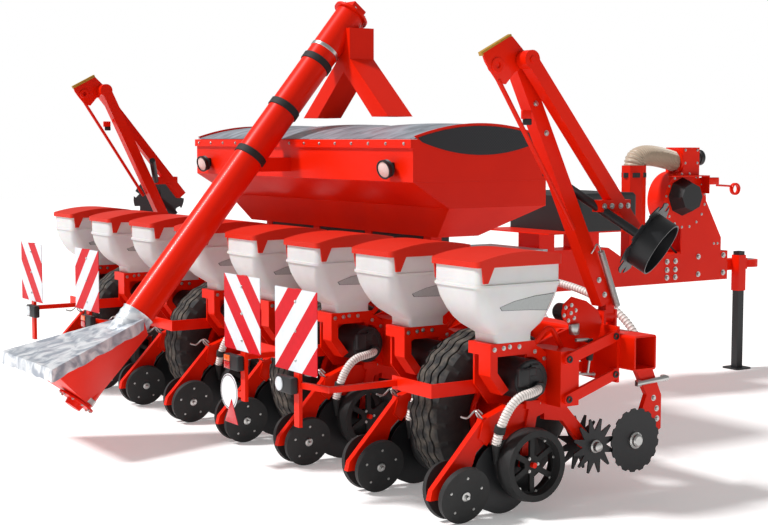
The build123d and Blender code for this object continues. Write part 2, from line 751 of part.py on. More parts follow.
# Blower cover: eight-sided black filter housing
with BuildPart() as blower_cover:
    with BuildSketch(side(FAN_RIGHT)) as cover_base:
        with Locations((COVER_Y, COVER_Z)):
            RegularPolygon(COVER_RADIUS, 8)
    with BuildSketch(side(FAN_RIGHT + COVER_DEPTH)) as cover_top:
        with Locations((COVER_Y, COVER_Z)):
            RegularPolygon(COVER_RADIUS * 0.72, 8)
    loft([cover_base.sketch, cover_top.sketch], ruled=True)
save(blower_cover, "blower_cover")

# Blower hose: corrugated air hose from the duct over to the fan's port
port_face = FAN_PORT_Y - port_half
with BuildPart() as blower_hose:
    with BuildLine() as hose_path:
        FilletPolyline(
            at(DUCT_X, DUCT_Y, DUCT_TOP),
            at(DUCT_X, DUCT_Y, DUCT_TOP + AIR_HOSE_RISE),
            at(DUCT_X, port_face + AIR_HOSE_RADIUS, AIR_HOSE_END_Z),
            radius=AIR_HOSE_BEND,
        )
    with BuildSketch(level(DUCT_TOP, DUCT_X, DUCT_Y)):
        Circle(AIR_HOSE_RADIUS)
    sweep(path=hose_path.line)
    split(bisect_by=Plane(origin=at(0, port_face, 0), z_dir=(0, -1, 0)), keep=Keep.TOP)
save(blower_hose, "blower_hose")

# Equipment box on the drawbar's platform
with BuildPart() as equipment_box:
    with BuildSketch(level(PLATFORM_TOP, 0, (BOX_REAR + BOX_FRONT) / 2)):
        RectangleRounded(2 * BOX_HALF, BOX_FRONT - BOX_REAR, 40)
    extrude(amount=BOX_TOP - PLATFORM_TOP)
    chamfer(equipment_box.faces().sort_by(Axis.Z)[-1].edges(), 20)
    with BuildSketch(level(PLATFORM_TOP, 0, (BOX_REAR + BOX_FRONT) / 2)):
        Rectangle(2 * (BOX_HALF - BOX_WALL), BOX_FRONT - BOX_REAR - 2 * BOX_WALL)
    extrude(amount=BOX_TOP - PLATFORM_TOP - BOX_WALL, mode=Mode.SUBTRACT)
save(equipment_box, "equipment_box")

# Row mount: plate on the toolbar's rear face with ears between the links
with BuildPart() as row_mount:
    with Locations(at(0, BAR_REAR, (MOUNT_LOW + MOUNT_HIGH) / 2)):
        Box(
            2 * LINK_SIDE,
            MOUNT_PLATE,
            MOUNT_HIGH - MOUNT_LOW,
            align=(Align.CENTER, Align.MAX, Align.CENTER),
        )
    for ear in (-LINK_SIDE, LINK_SIDE - MOUNT_PLATE):
        with BuildSketch(side(ear)):
            for rear_z, front_z in LINK_PINS:
                with Locations((LINK_FRONT_Y + 10, front_z)):
                    Rectangle(50, LINK_WIDTH)
        extrude(amount=MOUNT_PLATE)
with BuildPart() as row_mounts:
    with Locations(*[(x, 0, 0) for x in ROW_X]):
        add(row_mount.part)
save(row_mounts, "row_mounts")

# Row links: two upper and two lower parallel links with round ends
with BuildPart() as row_link_set:
    for left in (-LINK_SIDE - LINK_THICK, LINK_SIDE):
        with BuildSketch(side(left)):
            for rear_z, front_z in LINK_PINS:
                rise = front_z - rear_z
                reach = LINK_FRONT_Y - LINK_REAR_Y
                middle = ((LINK_FRONT_Y + LINK_REAR_Y) / 2, (rear_z + front_z) / 2)
                with Locations(Location(middle, degrees(atan2(rise, reach)))):
                    SlotCenterToCenter(hypot(rise, reach), LINK_WIDTH)
        extrude(amount=LINK_THICK)
with BuildPart() as row_links:
    with Locations(*[(x, 0, 0) for x in ROW_X]):
        add(row_link_set.part)
save(row_links, "row_links")

# Row frame: two side plates with the meter's arch, link head, spine, shank and closing fork
head_rear = LINK_REAR_Y - 40
closing_z = CLOSING_RADIUS * cos(radians(CLOSING_TILT)) + CLOSING_WIDTH / 2 * sin(radians(CLOSING_TILT))
disc_z = DISC_RADIUS + DISC_CLEAR


def closing_plane(hand, shift):
    """Plane square to a closing wheel's tilted axis, shifted outwards from the wheel's middle."""
    tilt = radians(CLOSING_TILT)
    out = (hand * cos(tilt), 0, -sin(tilt))
    middle = at(hand * CLOSING_HALF_GAP, CLOSING_Y, closing_z)
    return Plane(origin=middle, x_dir=(0, 1, 0), z_dir=out).offset(shift)


with BuildPart() as row_frame:
    with BuildSketch(side(FRAME_RIGHT - FRAME_PLATE)):
        with Locations((ARCH_Y, ARCH_Z)):
            Circle(ARCH_OUT)
        with Locations((FRAME_REAR, FRAME_TOP)):
            Rectangle(ARCH_Y - FRAME_REAR, FRAME_TOP - ARCH_Z, align=(Align.MIN, Align.MAX))
        with Locations((ARCH_Y, ARCH_Z)):
            Circle(ARCH_IN, mode=Mode.SUBTRACT)
        with Locations((FRAME_REAR, FRAME_TOP - ARCH_BAR)):
            Rectangle(ARCH_Y - FRAME_REAR, 2 * ARCH_OUT, align=(Align.MIN, Align.MAX), mode=Mode.SUBTRACT)
        with Locations((ARCH_Y, FRAME_TOP)):
            Rectangle(60, 80, align=(Align.MIN, Align.MAX))
        with Locations((head_rear, HEAD_LOW)):
            Rectangle(HEAD_DEPTH / 2, 180, align=(Align.MIN, Align.MIN))
    extrude(amount=FRAME_PLATE)
    with BuildSketch(side(FRAME_LEFT)):
        with BuildLine():
            Polyline(
                (FRAME_REAR + 30, FRAME_TOP),
                (FRAME_REAR + 30, 640),
                (-700, 530),
                (head_rear, 520),
                (head_rear, 800),
                (-530, FRAME_TOP),
                close=True,
            )
        make_face()
        with Locations((METER_Y, METER_Z)):
            Circle(METER_RADIUS, mode=Mode.SUBTRACT)
    extrude(amount=FRAME_PLATE)
    with BuildSketch(side(FRAME_RIGHT - POST_FACE)):
        with BuildLine():
            Polyline(
                (FRAME_REAR, FRAME_TOP),
                (FRAME_REAR, 700),
                (-745, 600),
                (-705, 625),
                (FRAME_REAR + 45, 715),
                (FRAME_REAR + 45, FRAME_TOP),
                close=True,
            )
        make_face()
    extrude(amount=POST_FACE)
    with Locations(at(FRAME_LEFT, FRAME_REAR, FRAME_TOP)):
        Box(
            FRAME_RIGHT - FRAME_LEFT,
            45,
            60,
            align=(Align.MIN, Align.MIN, Align.MAX),
        )
    handle_x = FRAME_RIGHT - FRAME_PLATE / 2
    with BuildLine() as handle_path:
        FilletPolyline(*[at(handle_x, y, z) for y, z in HANDLE], radius=40)
    with BuildSketch(along(*[(handle_x, y, z) for y, z in HANDLE[:2]])):
        Circle(HANDLE_RADIUS)
    sweep(path=handle_path.line)
    with Locations(at(0, head_rear, HEAD_LOW)):
        Box(2 * LINK_SIDE, HEAD_DEPTH, 280, align=(Align.CENTER, Align.MIN, Align.MIN))
    with BuildSketch(side(-SPINE_HALF)):
        with BuildLine():
            Polyline(
                (head_rear, 550),
                (head_rear, 490),
                (-560, 460),
                (-780, 430),
                (-840, 360),
                (-890, 400),
                (-860, 490),
                (-700, 545),
                close=True,
            )
        make_face()
    extrude(amount=2 * SPINE_HALF)
    with BuildSketch(side(-SHANK_HALF)):
        with BuildLine():
            Polyline((-560, 470), (-640, 90), (-760, 60), (-800, 430), close=True)
        make_face()
    extrude(amount=2 * SHANK_HALF)
    with BuildSketch(side(DISC_THICK / 2 - DISC_SIDE)):
        with Locations((DISC_Y, disc_z)):
            Circle(DISC_HUB)
    extrude(amount=2 * DISC_SIDE - DISC_THICK)
    for left, pin_left in ((SPINE_HALF + 2, GAUGE_INNER - 10), (-SPINE_HALF - 14, -GAUGE_OUTER + 20)):
        with BuildSketch(side(left)):
            with BuildLine():
                Polyline(
                    (-520, 560),
                    (-580, 560),
                    (GAUGE_Y - 30, GAUGE_Z - 20),
                    (GAUGE_Y + 30, GAUGE_Z - 20),
                    close=True,
                )
            make_face()
        extrude(amount=12)
        with BuildSketch(side(pin_left)):
            with Locations((GAUGE_Y, GAUGE_Z)):
                Circle(GAUGE_PIN)
        extrude(amount=GAUGE_OUTER - GAUGE_INNER - 10)
    with Locations(at(0, -560, 540)):
        Box(2 * SPINE_HALF + 28, 90, 40)
    with BuildSketch(side(-18)):
        with BuildLine():
            Polyline(
                (-815, 480),
                (-850, 500),
                (CLOSING_Y, 335),
                (CLOSING_Y - 155, 175),
                (CLOSING_Y - 168, 125),
                (CLOSING_Y - 125, 125),
                (CLOSING_Y - 30, closing_z - 22),
                (CLOSING_Y + 30, closing_z - 22),
                (-900, 330),
                (-815, 400),
                close=True,
            )
        make_face()
    extrude(amount=36)
    for hand in (-1, 1):
        with BuildSketch(closing_plane(hand, -STUB_INSIDE)):
            Circle(CLOSING_BORE)
        extrude(amount=STUB_INSIDE + CLOSING_WIDTH / 2)
with BuildPart() as row_frames:
    with Locations(*[(x, 0, 0) for x in ROW_X]):
        add(row_frame.part)
save(row_frames, "row_frames")

# Closing wheels: V pair of press wheels behind the opener
with BuildPart() as closing_pair:
    for hand in (-1, 1):
        with BuildSketch(closing_plane(hand, -CLOSING_WIDTH / 2)):
            Circle(CLOSING_RADIUS)
            Circle(CLOSING_BORE + RUN, mode=Mode.SUBTRACT)
        extrude(amount=CLOSING_WIDTH)
with BuildPart() as closing_wheels:
    with Locations(*[(x, 0, 0) for x in ROW_X]):
        add(closing_pair.part)
save(closing_wheels, "closing_wheels")

# Gauge wheels: twin depth wheels with six windows each
gauge_axis = Axis(at(0, GAUGE_Y, GAUGE_Z), (1, 0, 0))
gauge_web = (GAUGE_INNER + GAUGE_OUTER) / 2
with BuildPart() as gauge_pair:
    for hand in (-1, 1):
        with BuildSketch(Plane(origin=at(0, GAUGE_Y, GAUGE_Z), x_dir=(1, 0, 0), z_dir=(0, -1, 0))):
            with BuildLine():
                Polyline(
                    (hand * GAUGE_INNER, GAUGE_RADIUS - 8),
                    (hand * gauge_web, GAUGE_RADIUS),
                    (hand * GAUGE_OUTER, GAUGE_RADIUS - 8),
                    (hand * GAUGE_OUTER, GAUGE_RADIUS - 40),
                    (hand * (gauge_web + 8), GAUGE_RADIUS - 46),
                    (hand * (gauge_web + 8), GAUGE_PIN + RUN),
                    (hand * (GAUGE_INNER + 4), GAUGE_PIN + RUN),
                    (hand * (GAUGE_INNER + 4), GAUGE_PIN + 24),
                    (hand * (gauge_web - 8), GAUGE_PIN + 24),
                    (hand * (gauge_web - 8), GAUGE_RADIUS - 46),
                    (hand * GAUGE_INNER, GAUGE_RADIUS - 40),
                    close=True,
                )
            make_face()
        revolve(axis=gauge_axis)
        with BuildSketch(side(hand * gauge_web - 20)):
            with Locations((GAUGE_Y, GAUGE_Z)):
                Circle(GAUGE_RADIUS - 52)
                Circle(GAUGE_PIN + 34, mode=Mode.SUBTRACT)
                for turn in (30, 90, 150):
                    Rectangle(2 * GAUGE_RADIUS, GAUGE_SPOKE, rotation=turn, mode=Mode.SUBTRACT)
        extrude(amount=40, mode=Mode.SUBTRACT)
for number, x in enumerate(ROW_X, 1):
    with BuildPart() as placed:
        with Locations((x, 0, 0)):
            add(gauge_pair.part)
    save(placed, f"gauge_wheels_{number}")

# Seed meter: drum between the side plates
with BuildPart() as seed_meter:
    with BuildSketch(side(FRAME_LEFT + 4)):
        with Locations((METER_Y, METER_Z)):
            Circle(METER_RADIUS - RUN)
    extrude(amount=METER_OUT - FRAME_LEFT - 4)
with BuildPart() as seed_meters:
    with Locations(*[(x, 0, 0) for x in ROW_X]):
        add(seed_meter.part)
save(seed_meters, "seed_meters")

# Seed hose: from the meter back and down behind the opener
SEED_HOSE_RADIUS = 24.0
with BuildPart() as seed_hose:
    with BuildLine() as seed_path:
        FilletPolyline(
            at(METER_OUT, METER_Y + 30, METER_Z - 40),
            at(METER_OUT + 60, METER_Y + 30, METER_Z - 40),
            at(METER_OUT + 60, -800, METER_Z - 75),
            at(FRAME_RIGHT + 40, -812, 372),
            radius=45,
        )
    with BuildSketch(Plane(origin=at(METER_OUT, METER_Y + 30, METER_Z - 40), z_dir=(1, 0, 0))):
        Circle(SEED_HOSE_RADIUS)
    sweep(path=seed_path.line)
with BuildPart() as seed_hoses:
    with Locations(*[(x, 0, 0) for x in ROW_X]):
        add(seed_hose.part)
save(seed_hoses, "seed_hoses")


def seed_section(z, inset):
    """Rounded outline of the seed hopper at its neck, belly, shoulder or top."""
    left, right, rear, front, corner = {
        FRAME_TOP: (FRAME_LEFT, FRAME_RIGHT, SEED_NECK_REAR, SEED_NECK_FRONT, 20.0),
        SEED_BELLY: (SEED_LEFT + 60, SEED_RIGHT - 55, SEED_REAR + 95, SEED_FRONT - 38, 35.0),
        SEED_SHOULDER: (SEED_LEFT, SEED_RIGHT, SEED_REAR, SEED_FRONT, SEED_CORNER),
        SEED_TOP: (SEED_LEFT, SEED_RIGHT, SEED_REAR, SEED_FRONT, SEED_CORNER),
    }[z]
    with BuildSketch(level(z, (left + right) / 2, (rear + front) / 2)) as section:
        RectangleRounded(right - left - 2 * inset, front - rear - 2 * inset, corner - inset)
    return section.sketch


# Seed hopper: hollow moulding with the lid's hinge lugs at its front
hinge_mid = (SEED_LEFT + SEED_RIGHT) / 2
HINGE_HALF = 60.0
HINGE_LUG = 12.0
with BuildPart() as seed_hopper:
    for inset, mode in ((0, Mode.ADD), (SEED_SHEET, Mode.SUBTRACT)):
        for low, high in ((FRAME_TOP, SEED_BELLY), (SEED_BELLY, SEED_SHOULDER), (SEED_SHOULDER, SEED_TOP)):
            loft([seed_section(low, inset), seed_section(high, inset)], ruled=True, mode=mode)
        if mode == Mode.ADD:
            extrude(seed_section(SEED_SHOULDER, -SEED_LEDGE), amount=14)
    with Locations(at((FRAME_LEFT + FRAME_RIGHT) / 2, (SEED_NECK_REAR + SEED_NECK_FRONT) / 2, FRAME_TOP)):
        Box(
            FRAME_RIGHT - FRAME_LEFT - SEED_SHEET,
            SEED_NECK_FRONT - SEED_NECK_REAR - SEED_SHEET,
            SEED_SHEET,
            align=(Align.CENTER, Align.CENTER, Align.MIN),
        )
    for lug_x in (hinge_mid - HINGE_HALF - RUN - HINGE_LUG, hinge_mid + HINGE_HALF + RUN):
        with BuildSketch(side(lug_x)):
            with BuildLine():
                Polyline(
                    (SEED_FRONT - 2, SEED_TOP - 40),
                    (SEED_FRONT - 2, SEED_TOP - 4),
                    (SEED_FRONT + 8, SEED_TOP),
                    (SEED_FRONT + 8, HINGE_Z + HINGE_BARREL - 2),
                    (HINGE_Y + HINGE_BARREL, HINGE_Z + HINGE_BARREL - 2),
                    (HINGE_Y + HINGE_BARREL, HINGE_Z - HINGE_BARREL),
                    close=True,
                )
            make_face()
        extrude(amount=HINGE_LUG)
    with BuildSketch(side(hinge_mid - HINGE_HALF - 8)):
        with Locations((HINGE_Y, HINGE_Z)):
            Circle(HINGE_PIN)
    extrude(amount=2 * HINGE_HALF + 16)
with BuildPart() as seed_hoppers:
    with Locations(*[(x, 0, 0) for x in ROW_X]):
        add(seed_hopper.part)
save(seed_hoppers, "seed_hoppers")

# Lid: crowned moulding with two ears at the rear, hinged at the front
lid_low = SEED_TOP + RUN
lid_width = SEED_RIGHT - SEED_LEFT + 2 * LID_OVERHANG
with BuildPart() as lid:
    lid_rear = SEED_REAR - LID_OVERHANG
    with BuildSketch(side(hinge_mid - lid_width / 2)):
        with BuildLine():
            ThreePointArc(
                (lid_rear, lid_low + LID_REAR),
                (LID_CROWN_Y, lid_low + LID_CROWN),
                (SEED_FRONT, lid_low + LID_FRONT),
            )
            Polyline(
                (SEED_FRONT, lid_low + LID_FRONT),
                (SEED_FRONT, lid_low),
                (lid_rear, lid_low),
                (lid_rear, lid_low + LID_REAR),
            )
        make_face()
    extrude(amount=lid_width)
    fillet(lid.edges().filter_by(Axis.Z), LID_CORNER)
    with BuildSketch(level(lid_low, hinge_mid, (SEED_REAR + SEED_FRONT) / 2)):
        Rectangle(SEED_RIGHT - SEED_LEFT - 30, SEED_FRONT - SEED_REAR - 40)
    extrude(amount=LID_REAR / 2, mode=Mode.SUBTRACT)
    for ear_x in (SEED_LEFT - 3 - LID_EAR, SEED_RIGHT + 3):
        with BuildSketch(side(ear_x)):
            with BuildLine():
                Polyline(
                    (SEED_REAR + 12, lid_low + 8),
                    (SEED_REAR + 90, lid_low + 8),
                    (SEED_REAR + 50, SEED_SHOULDER + 24),
                    (SEED_REAR + 22, SEED_SHOULDER + 24),
                    close=True,
                )
            make_face()
        extrude(amount=LID_EAR)
    with BuildSketch(side(hinge_mid - HINGE_HALF)):
        with Locations((HINGE_Y, HINGE_Z)):
            Circle(HINGE_BARREL)
        with Locations(((HINGE_Y + SEED_FRONT - 10) / 2, HINGE_Z)):
            Rectangle(HINGE_Y - SEED_FRONT + 10, 2 * HINGE_BARREL - 8)
        with Locations((HINGE_Y, HINGE_Z)):
            Circle(HINGE_PIN + RUN, mode=Mode.SUBTRACT)
    extrude(amount=2 * HINGE_HALF)
for number, x in enumerate(ROW_X, 1):
    with BuildPart() as placed:
        with Locations((x, 0, 0)):
            add(lid.part)
    save(placed, f"lid_{number}")

# Coulter discs: opener pair, fertiliser disc and row cleaner stars of each row
with BuildPart() as coulter_disc_set:
    for hand in (-1, 1):
        with BuildSketch(side(hand * DISC_SIDE - DISC_THICK / 2)):
            with Locations((DISC_Y, disc_z)):
                Circle(DISC_RADIUS)
        extrude(amount=DISC_THICK)
        with BuildSketch(side(hand * STAR_SIDE - STAR_THICK / 2)):
            with BuildLine():
                Polyline(
                    *[
                        (
                            STAR_Y + r * cos(radians(360 * (i + turn) / STAR_TEETH)),
                            STAR_Z + r * sin(radians(360 * (i + turn) / STAR_TEETH)),
                        )
                        for i in range(STAR_TEETH)
                        for turn, r in ((0, STAR_ROOT), (0.35, STAR_RADIUS), (0.5, STAR_RADIUS))
                    ],
                    close=True,
                )
            make_face()
        extrude(amount=STAR_THICK)
    with BuildSketch(side(FERT_DISC_SIDE - DISC_THICK / 2)):
        with Locations((FERT_DISC_Y, FERT_DISC_Z)):
            Circle(FERT_DISC_RADIUS)
            with PolarLocations(FERT_DISC_RADIUS + 8, FERT_DISC_NOTCHES):
                Circle(18, mode=Mode.SUBTRACT)
    extrude(amount=DISC_THICK)
with BuildPart() as coulter_discs:
    with Locations(*[(x, 0, 0) for x in ROW_X]):
        add(coulter_disc_set.part)
save(coulter_discs, "coulter_discs")

# Coulter arms: fertiliser disc's arm in front of the toolbar, row cleaner's arm below it
fert_arm_left = FERT_DISC_SIDE - DISC_THICK / 2 - FERT_ARM_THICK
with BuildPart() as coulter_arm_set:
    with BuildSketch(side(fert_arm_left)):
        with BuildLine():
            Polyline(
                (BAR_FRONT, TOOLBAR_TOP - 20),
                (BAR_FRONT, TOOLBAR_BOTTOM + 20),
                (BAR_FRONT + 110, 520),
                (FERT_DISC_Y - 25, FERT_DISC_Z - 25),
                (FERT_DISC_Y + 25, FERT_DISC_Z - 25),
                (BAR_FRONT + 215, 330),
                (BAR_FRONT + 215, 510),
                (BAR_FRONT + 60, TOOLBAR_TOP - 20),
                close=True,
            )
        make_face()
    extrude(amount=FERT_ARM_THICK)
    star_arm_half = STAR_SIDE - STAR_THICK / 2
    with BuildSketch(side(-16)):
        with BuildLine():
            Polyline(
                (head_rear, HEAD_LOW),
                (head_rear + HEAD_DEPTH, HEAD_LOW),
                (STAR_Y + 25, STAR_Z + 30),
                (STAR_Y + 25, STAR_Z - 25),
                (STAR_Y - 25, STAR_Z - 25),
                (head_rear + HEAD_DEPTH, HEAD_LOW - 100),
                (head_rear, HEAD_LOW - 80),
                close=True,
            )
        make_face()
    extrude(amount=32)
    with BuildSketch(side(-star_arm_half)):
        with Locations((STAR_Y, STAR_Z)):
            Circle(22)
    extrude(amount=2 * star_arm_half)
with BuildPart() as coulter_arms:
    with Locations(*[(x, 0, 0) for x in ROW_X]):
        add(coulter_arm_set.part)
save(coulter_arms, "coulter_arms")

# Fertiliser hoses: from the meters down to each fertiliser disc's arm
meter_out_z = TANK_BOTTOM - FERT_METER_HEIGHT
with BuildPart() as fertiliser_hoses:
    for x in ROW_X:
        rank = int(abs(x) // ROW_PITCH)
        start_x = FERT_OUTLETS[rank] * (1 if x > 0 else -1)
        run_z = meter_out_z - FERT_HOSE_DROP - FERT_HOSE_STEP * (len(FERT_OUTLETS) - 1 - rank)
        with BuildLine() as fert_path:
            FilletPolyline(
                at(start_x, fert_meter_y, meter_out_z),
                at(start_x, fert_meter_y, run_z),
                at(x + fert_arm_left - FERT_HOSE_RADIUS, FERT_HOSE_Y, run_z - 30),
                at(x + fert_arm_left - FERT_HOSE_RADIUS, FERT_HOSE_Y, 560),
                radius=40,
            )
        with BuildSketch(level(meter_out_z, start_x, fert_meter_y)):
            Circle(FERT_HOSE_RADIUS)
        sweep(path=fert_path.line)
save(fertiliser_hoses, "fertiliser_hoses")

# Warning boards: square striped plates that face the rear, a round sign and a triangle
with BuildPart() as warning_boards:
    with Locations(*[at(x, y, BOARD_Z) for x, y in BOARDS]):
        Box(BOARD_SIZE, BOARD_THICK, BOARD_SIZE, align=(Align.CENTER, Align.MIN, Align.CENTER))
    sign_x, sign_y = BOARDS[1][0] - SIGN_OUT, BOARDS[1][1]
    with Locations(Location(at(sign_x, sign_y, SIGN_Z), (90, 0, 0))):
        Cylinder(SIGN_RADIUS, BOARD_THICK, align=(Align.CENTER, Align.CENTER, Align.MAX))
    with BuildSketch(Plane(origin=at(sign_x + 35, sign_y, SIGN_Z - 130), x_dir=(1, 0, 0), z_dir=(0, -1, 0))):
        RegularPolygon(TRIANGLE_RADIUS, 3, rotation=90)
    extrude(amount=BOARD_THICK)
save(warning_boards, "warning_boards")

# Board posts: flat posts in front of the boards, with arms to the tyre guards
with BuildPart() as board_posts:
    for (x, y), wheel in zip(BOARDS, WHEEL_X):
        post_y = y + BOARD_THICK
        with Locations(at(x, post_y, POST_LOW)):
            Box(
                POST_WIDTH,
                POST_DEPTH,
                BOARD_Z + BOARD_SIZE / 2 - POST_LOW,
                align=(Align.CENTER, Align.MIN, Align.MIN),
            )
        if (x, y) == BOARDS[1]:
            with Locations(at(x, post_y, SIGN_Z)):
                Box(SIGN_OUT, POST_DEPTH, ARM_BAR, align=(Align.MAX, Align.MIN, Align.CENTER))
        guard_right = wheel + arm_far + GUARD_THICK
        reach_x = min(max(x, wheel + GUARD_LEFT + ARM_BAR), guard_right - ARM_BAR)
        start = (x, post_y + POST_DEPTH, GUARD_Z)
        corner = (reach_x, post_y + POST_DEPTH + abs(reach_x - x) / 4, GUARD_Z)
        end = (reach_x, GUARD_REAR, GUARD_Z)
        with BuildSketch(along(start, corner)):
            Rectangle(ARM_BAR, ARM_BAR)
        extrude(amount=span(start, corner))
        with BuildSketch(along((reach_x, corner[1] - ARM_BAR / 2, GUARD_Z), end)):
            Rectangle(ARM_BAR, ARM_BAR)
        extrude(amount=end[1] - corner[1] + ARM_BAR / 2)
save(board_posts, "board_posts")

# Lamps: a lamp box on the rear of each post, below the board
with BuildPart() as lamps:
    for x, y in BOARDS:
        inward = -LAMP_SHIFT if x > 0 else LAMP_SHIFT
        with Locations(at(x + inward, y + BOARD_THICK, LAMP_Z)):
            Box(*LAMP_SIZE, align=(Align.CENTER, Align.MAX, Align.CENTER))
    with Locations(*[Location(at(x, TANK_REAR, 1700), (90, 0, 0)) for x in (-1190, 1190)]):
        Cylinder(55, 60, align=(Align.CENTER, Align.CENTER, Align.MIN))
save(lamps, "lamps")

# Markers: main arm on the toolbar's bracket, outer section beside it, disc on its rod
rod_axis = Vector(*MARK_AXIS).normalized()
for hand, name in ((1, "right"), (-1, "left")):
    foot = (hand * MARKER_X, MARKER_Y, MARKER_Z)
    top = (hand * MARKER_X, MARKER_TOP[0], MARKER_TOP[1])
    arm_start = (hand * MARKER_X, MARKER_Y - 29, MARKER_Z + 72)
    boom_x = hand * (MARKER_X + BOOM_SIDE + BOOM_TUBE / 2)
    with BuildPart() as marker_arm:
        with Locations(Location(at(*foot), (90, 0, 0))):
            Cylinder(MARKER_KNUCKLE, 2 * MARKER_KNUCKLE_HALF)
        with Locations(at(foot[0], foot[1], foot[2])):
            Box(
                2 * MARKER_KNUCKLE - 8,
                2 * MARKER_KNUCKLE_HALF,
                100,
                align=(Align.CENTER, Align.CENTER, Align.MIN),
            )
        with Locations(Location(at(*foot), (90, 0, 0))):
            Cylinder(MARKER_PIN + RUN, 4 * MARKER_KNUCKLE_HALF, mode=Mode.SUBTRACT)
        with BuildSketch(along(arm_start, top)):
            Rectangle(MARKER_TUBE, MARKER_TUBE)
            Rectangle(MARKER_TUBE - 2 * MARKER_WALL, MARKER_TUBE - 2 * MARKER_WALL, mode=Mode.SUBTRACT)
        extrude(amount=span(arm_start, top))
        with BuildSketch(side(hand * MARKER_X - MARKER_TUBE / 2)):
            with Locations(MARKER_TOP):
                Circle(50)
        extrude(amount=MARKER_TUBE)
        with BuildSketch(side(hand * (MARKER_X + MARKER_TUBE / 2))):
            with Locations(MARKER_TOP):
                Circle(MARKER_PIN)
        extrude(amount=hand * (BOOM_SIDE + BOOM_TUBE - MARKER_TUBE / 2 + 6))
    save(marker_arm, f"marker_arm_{name}")
    rod_dir = Vector(hand * rod_axis.X, rod_axis.Y, rod_axis.Z)
    disc_centre = Vector(hand * MARK_DISC[0], MARK_DISC[1], MARK_DISC[2])
    rod_start = disc_centre - rod_dir * MARK_ROD
    boom_top = (boom_x, MARKER_TOP[0], MARKER_TOP[1])
    boom_foot = (boom_x, BOOM_FOOT[0], BOOM_FOOT[1])
    clamp = disc_centre - rod_dir * (MARK_ROD * 0.48)
    with BuildPart() as marker_boom:
        with BuildSketch(along(boom_top, boom_foot)):
            Rectangle(BOOM_TUBE, BOOM_TUBE)
            Rectangle(BOOM_TUBE - 2 * MARKER_WALL, BOOM_TUBE - 2 * MARKER_WALL, mode=Mode.SUBTRACT)
        extrude(amount=span(boom_top, boom_foot))
        with BuildSketch(side(boom_x - BOOM_TUBE / 2)):
            with Locations(MARKER_TOP):
                Circle(46)
        extrude(amount=BOOM_TUBE)
        with BuildSketch(side(boom_x - BOOM_TUBE / 2)):
            with Locations(MARKER_TOP):
                Circle(MARKER_PIN + RUN)
        extrude(amount=BOOM_TUBE, mode=Mode.SUBTRACT)
        with BuildSketch(Plane(origin=at(*rod_start), z_dir=rod_dir)):
            Circle(MARK_ROD_RADIUS)
        extrude(amount=MARK_ROD)
        with Locations(at(boom_x, clamp.Y + 90, clamp.Z)):
            Box(BOOM_TUBE, 200, 60)
    save(marker_boom, f"marker_boom_{name}")
    with BuildPart() as marker_disc:
        with BuildSketch(Plane(origin=at(*(disc_centre + rod_dir * RUN)), z_dir=rod_dir)):
            Circle(MARK_BLADE_RADIUS)
            with PolarLocations(MARK_BLADE_RADIUS, MARK_NOTCHES):
                Rectangle(70, 46, rotation=25, mode=Mode.SUBTRACT)
        extrude(amount=6)
        with BuildSketch(Plane(origin=at(*disc_centre), z_dir=rod_dir).offset(RUN)):
            Circle(MARK_CUP_RADIUS)
        extrude(amount=MARK_CUP_DEPTH)
        with BuildSketch(Plane(origin=at(*disc_centre), z_dir=rod_dir).offset(RUN + 12)):
            Circle(MARK_CUP_RADIUS - 8)
        extrude(amount=MARK_CUP_DEPTH, mode=Mode.SUBTRACT)
    save(marker_disc, f"marker_disc_{name}")
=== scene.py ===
import bpy
import math
from contextlib import contextmanager
from mathutils import Matrix, Vector


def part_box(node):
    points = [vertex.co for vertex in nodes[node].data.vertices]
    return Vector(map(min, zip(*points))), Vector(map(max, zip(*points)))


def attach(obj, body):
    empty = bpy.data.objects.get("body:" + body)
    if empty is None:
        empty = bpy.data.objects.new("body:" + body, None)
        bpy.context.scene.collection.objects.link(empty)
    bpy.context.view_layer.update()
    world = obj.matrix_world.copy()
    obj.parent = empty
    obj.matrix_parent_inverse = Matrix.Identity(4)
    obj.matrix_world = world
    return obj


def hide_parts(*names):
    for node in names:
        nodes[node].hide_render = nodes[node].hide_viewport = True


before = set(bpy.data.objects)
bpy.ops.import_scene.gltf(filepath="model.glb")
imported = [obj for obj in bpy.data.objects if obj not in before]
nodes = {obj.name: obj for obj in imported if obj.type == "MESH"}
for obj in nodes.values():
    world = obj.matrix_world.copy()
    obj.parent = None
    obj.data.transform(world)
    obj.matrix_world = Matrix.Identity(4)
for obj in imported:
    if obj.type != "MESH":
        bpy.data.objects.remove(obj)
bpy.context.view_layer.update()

# Studio: a plain pale floor under an even sky, with one broad lamp from behind the machine's left.
# The camera stands at the rear right corner at eye height, as the photographer did.
CAMERA_PLACE = (8.17, -5.9645, 1.864)
CAMERA_AZIMUTH, CAMERA_PITCH = math.radians(56.59), math.radians(4.92)
CAMERA_LENS, SENSOR_WIDTH = 67.08, 36.0
SKY_LIGHT, FLOOR_GLOW = 0.34, 0.22
KEY_LIGHT, KEY_WAY, KEY_SPREAD = 3.3, Vector((0.3, 0.62, -0.8)), math.radians(9)


def started(primitive, **sizes):
    """A primitive that a piece starts from, with nothing else selected."""
    bpy.ops.object.select_all(action="DESELECT")
    primitive(**sizes)
    return bpy.context.object


def linear(hex_colour):
    """sRGB hex to the linear colour that shaders take."""
    parts = [int(hex_colour[i : i + 2], 16) / 255 for i in (1, 3, 5)]
    return [p / 12.92 if p <= 0.04045 else ((p + 0.055) / 1.055) ** 2.4 for p in parts] + [1.0]


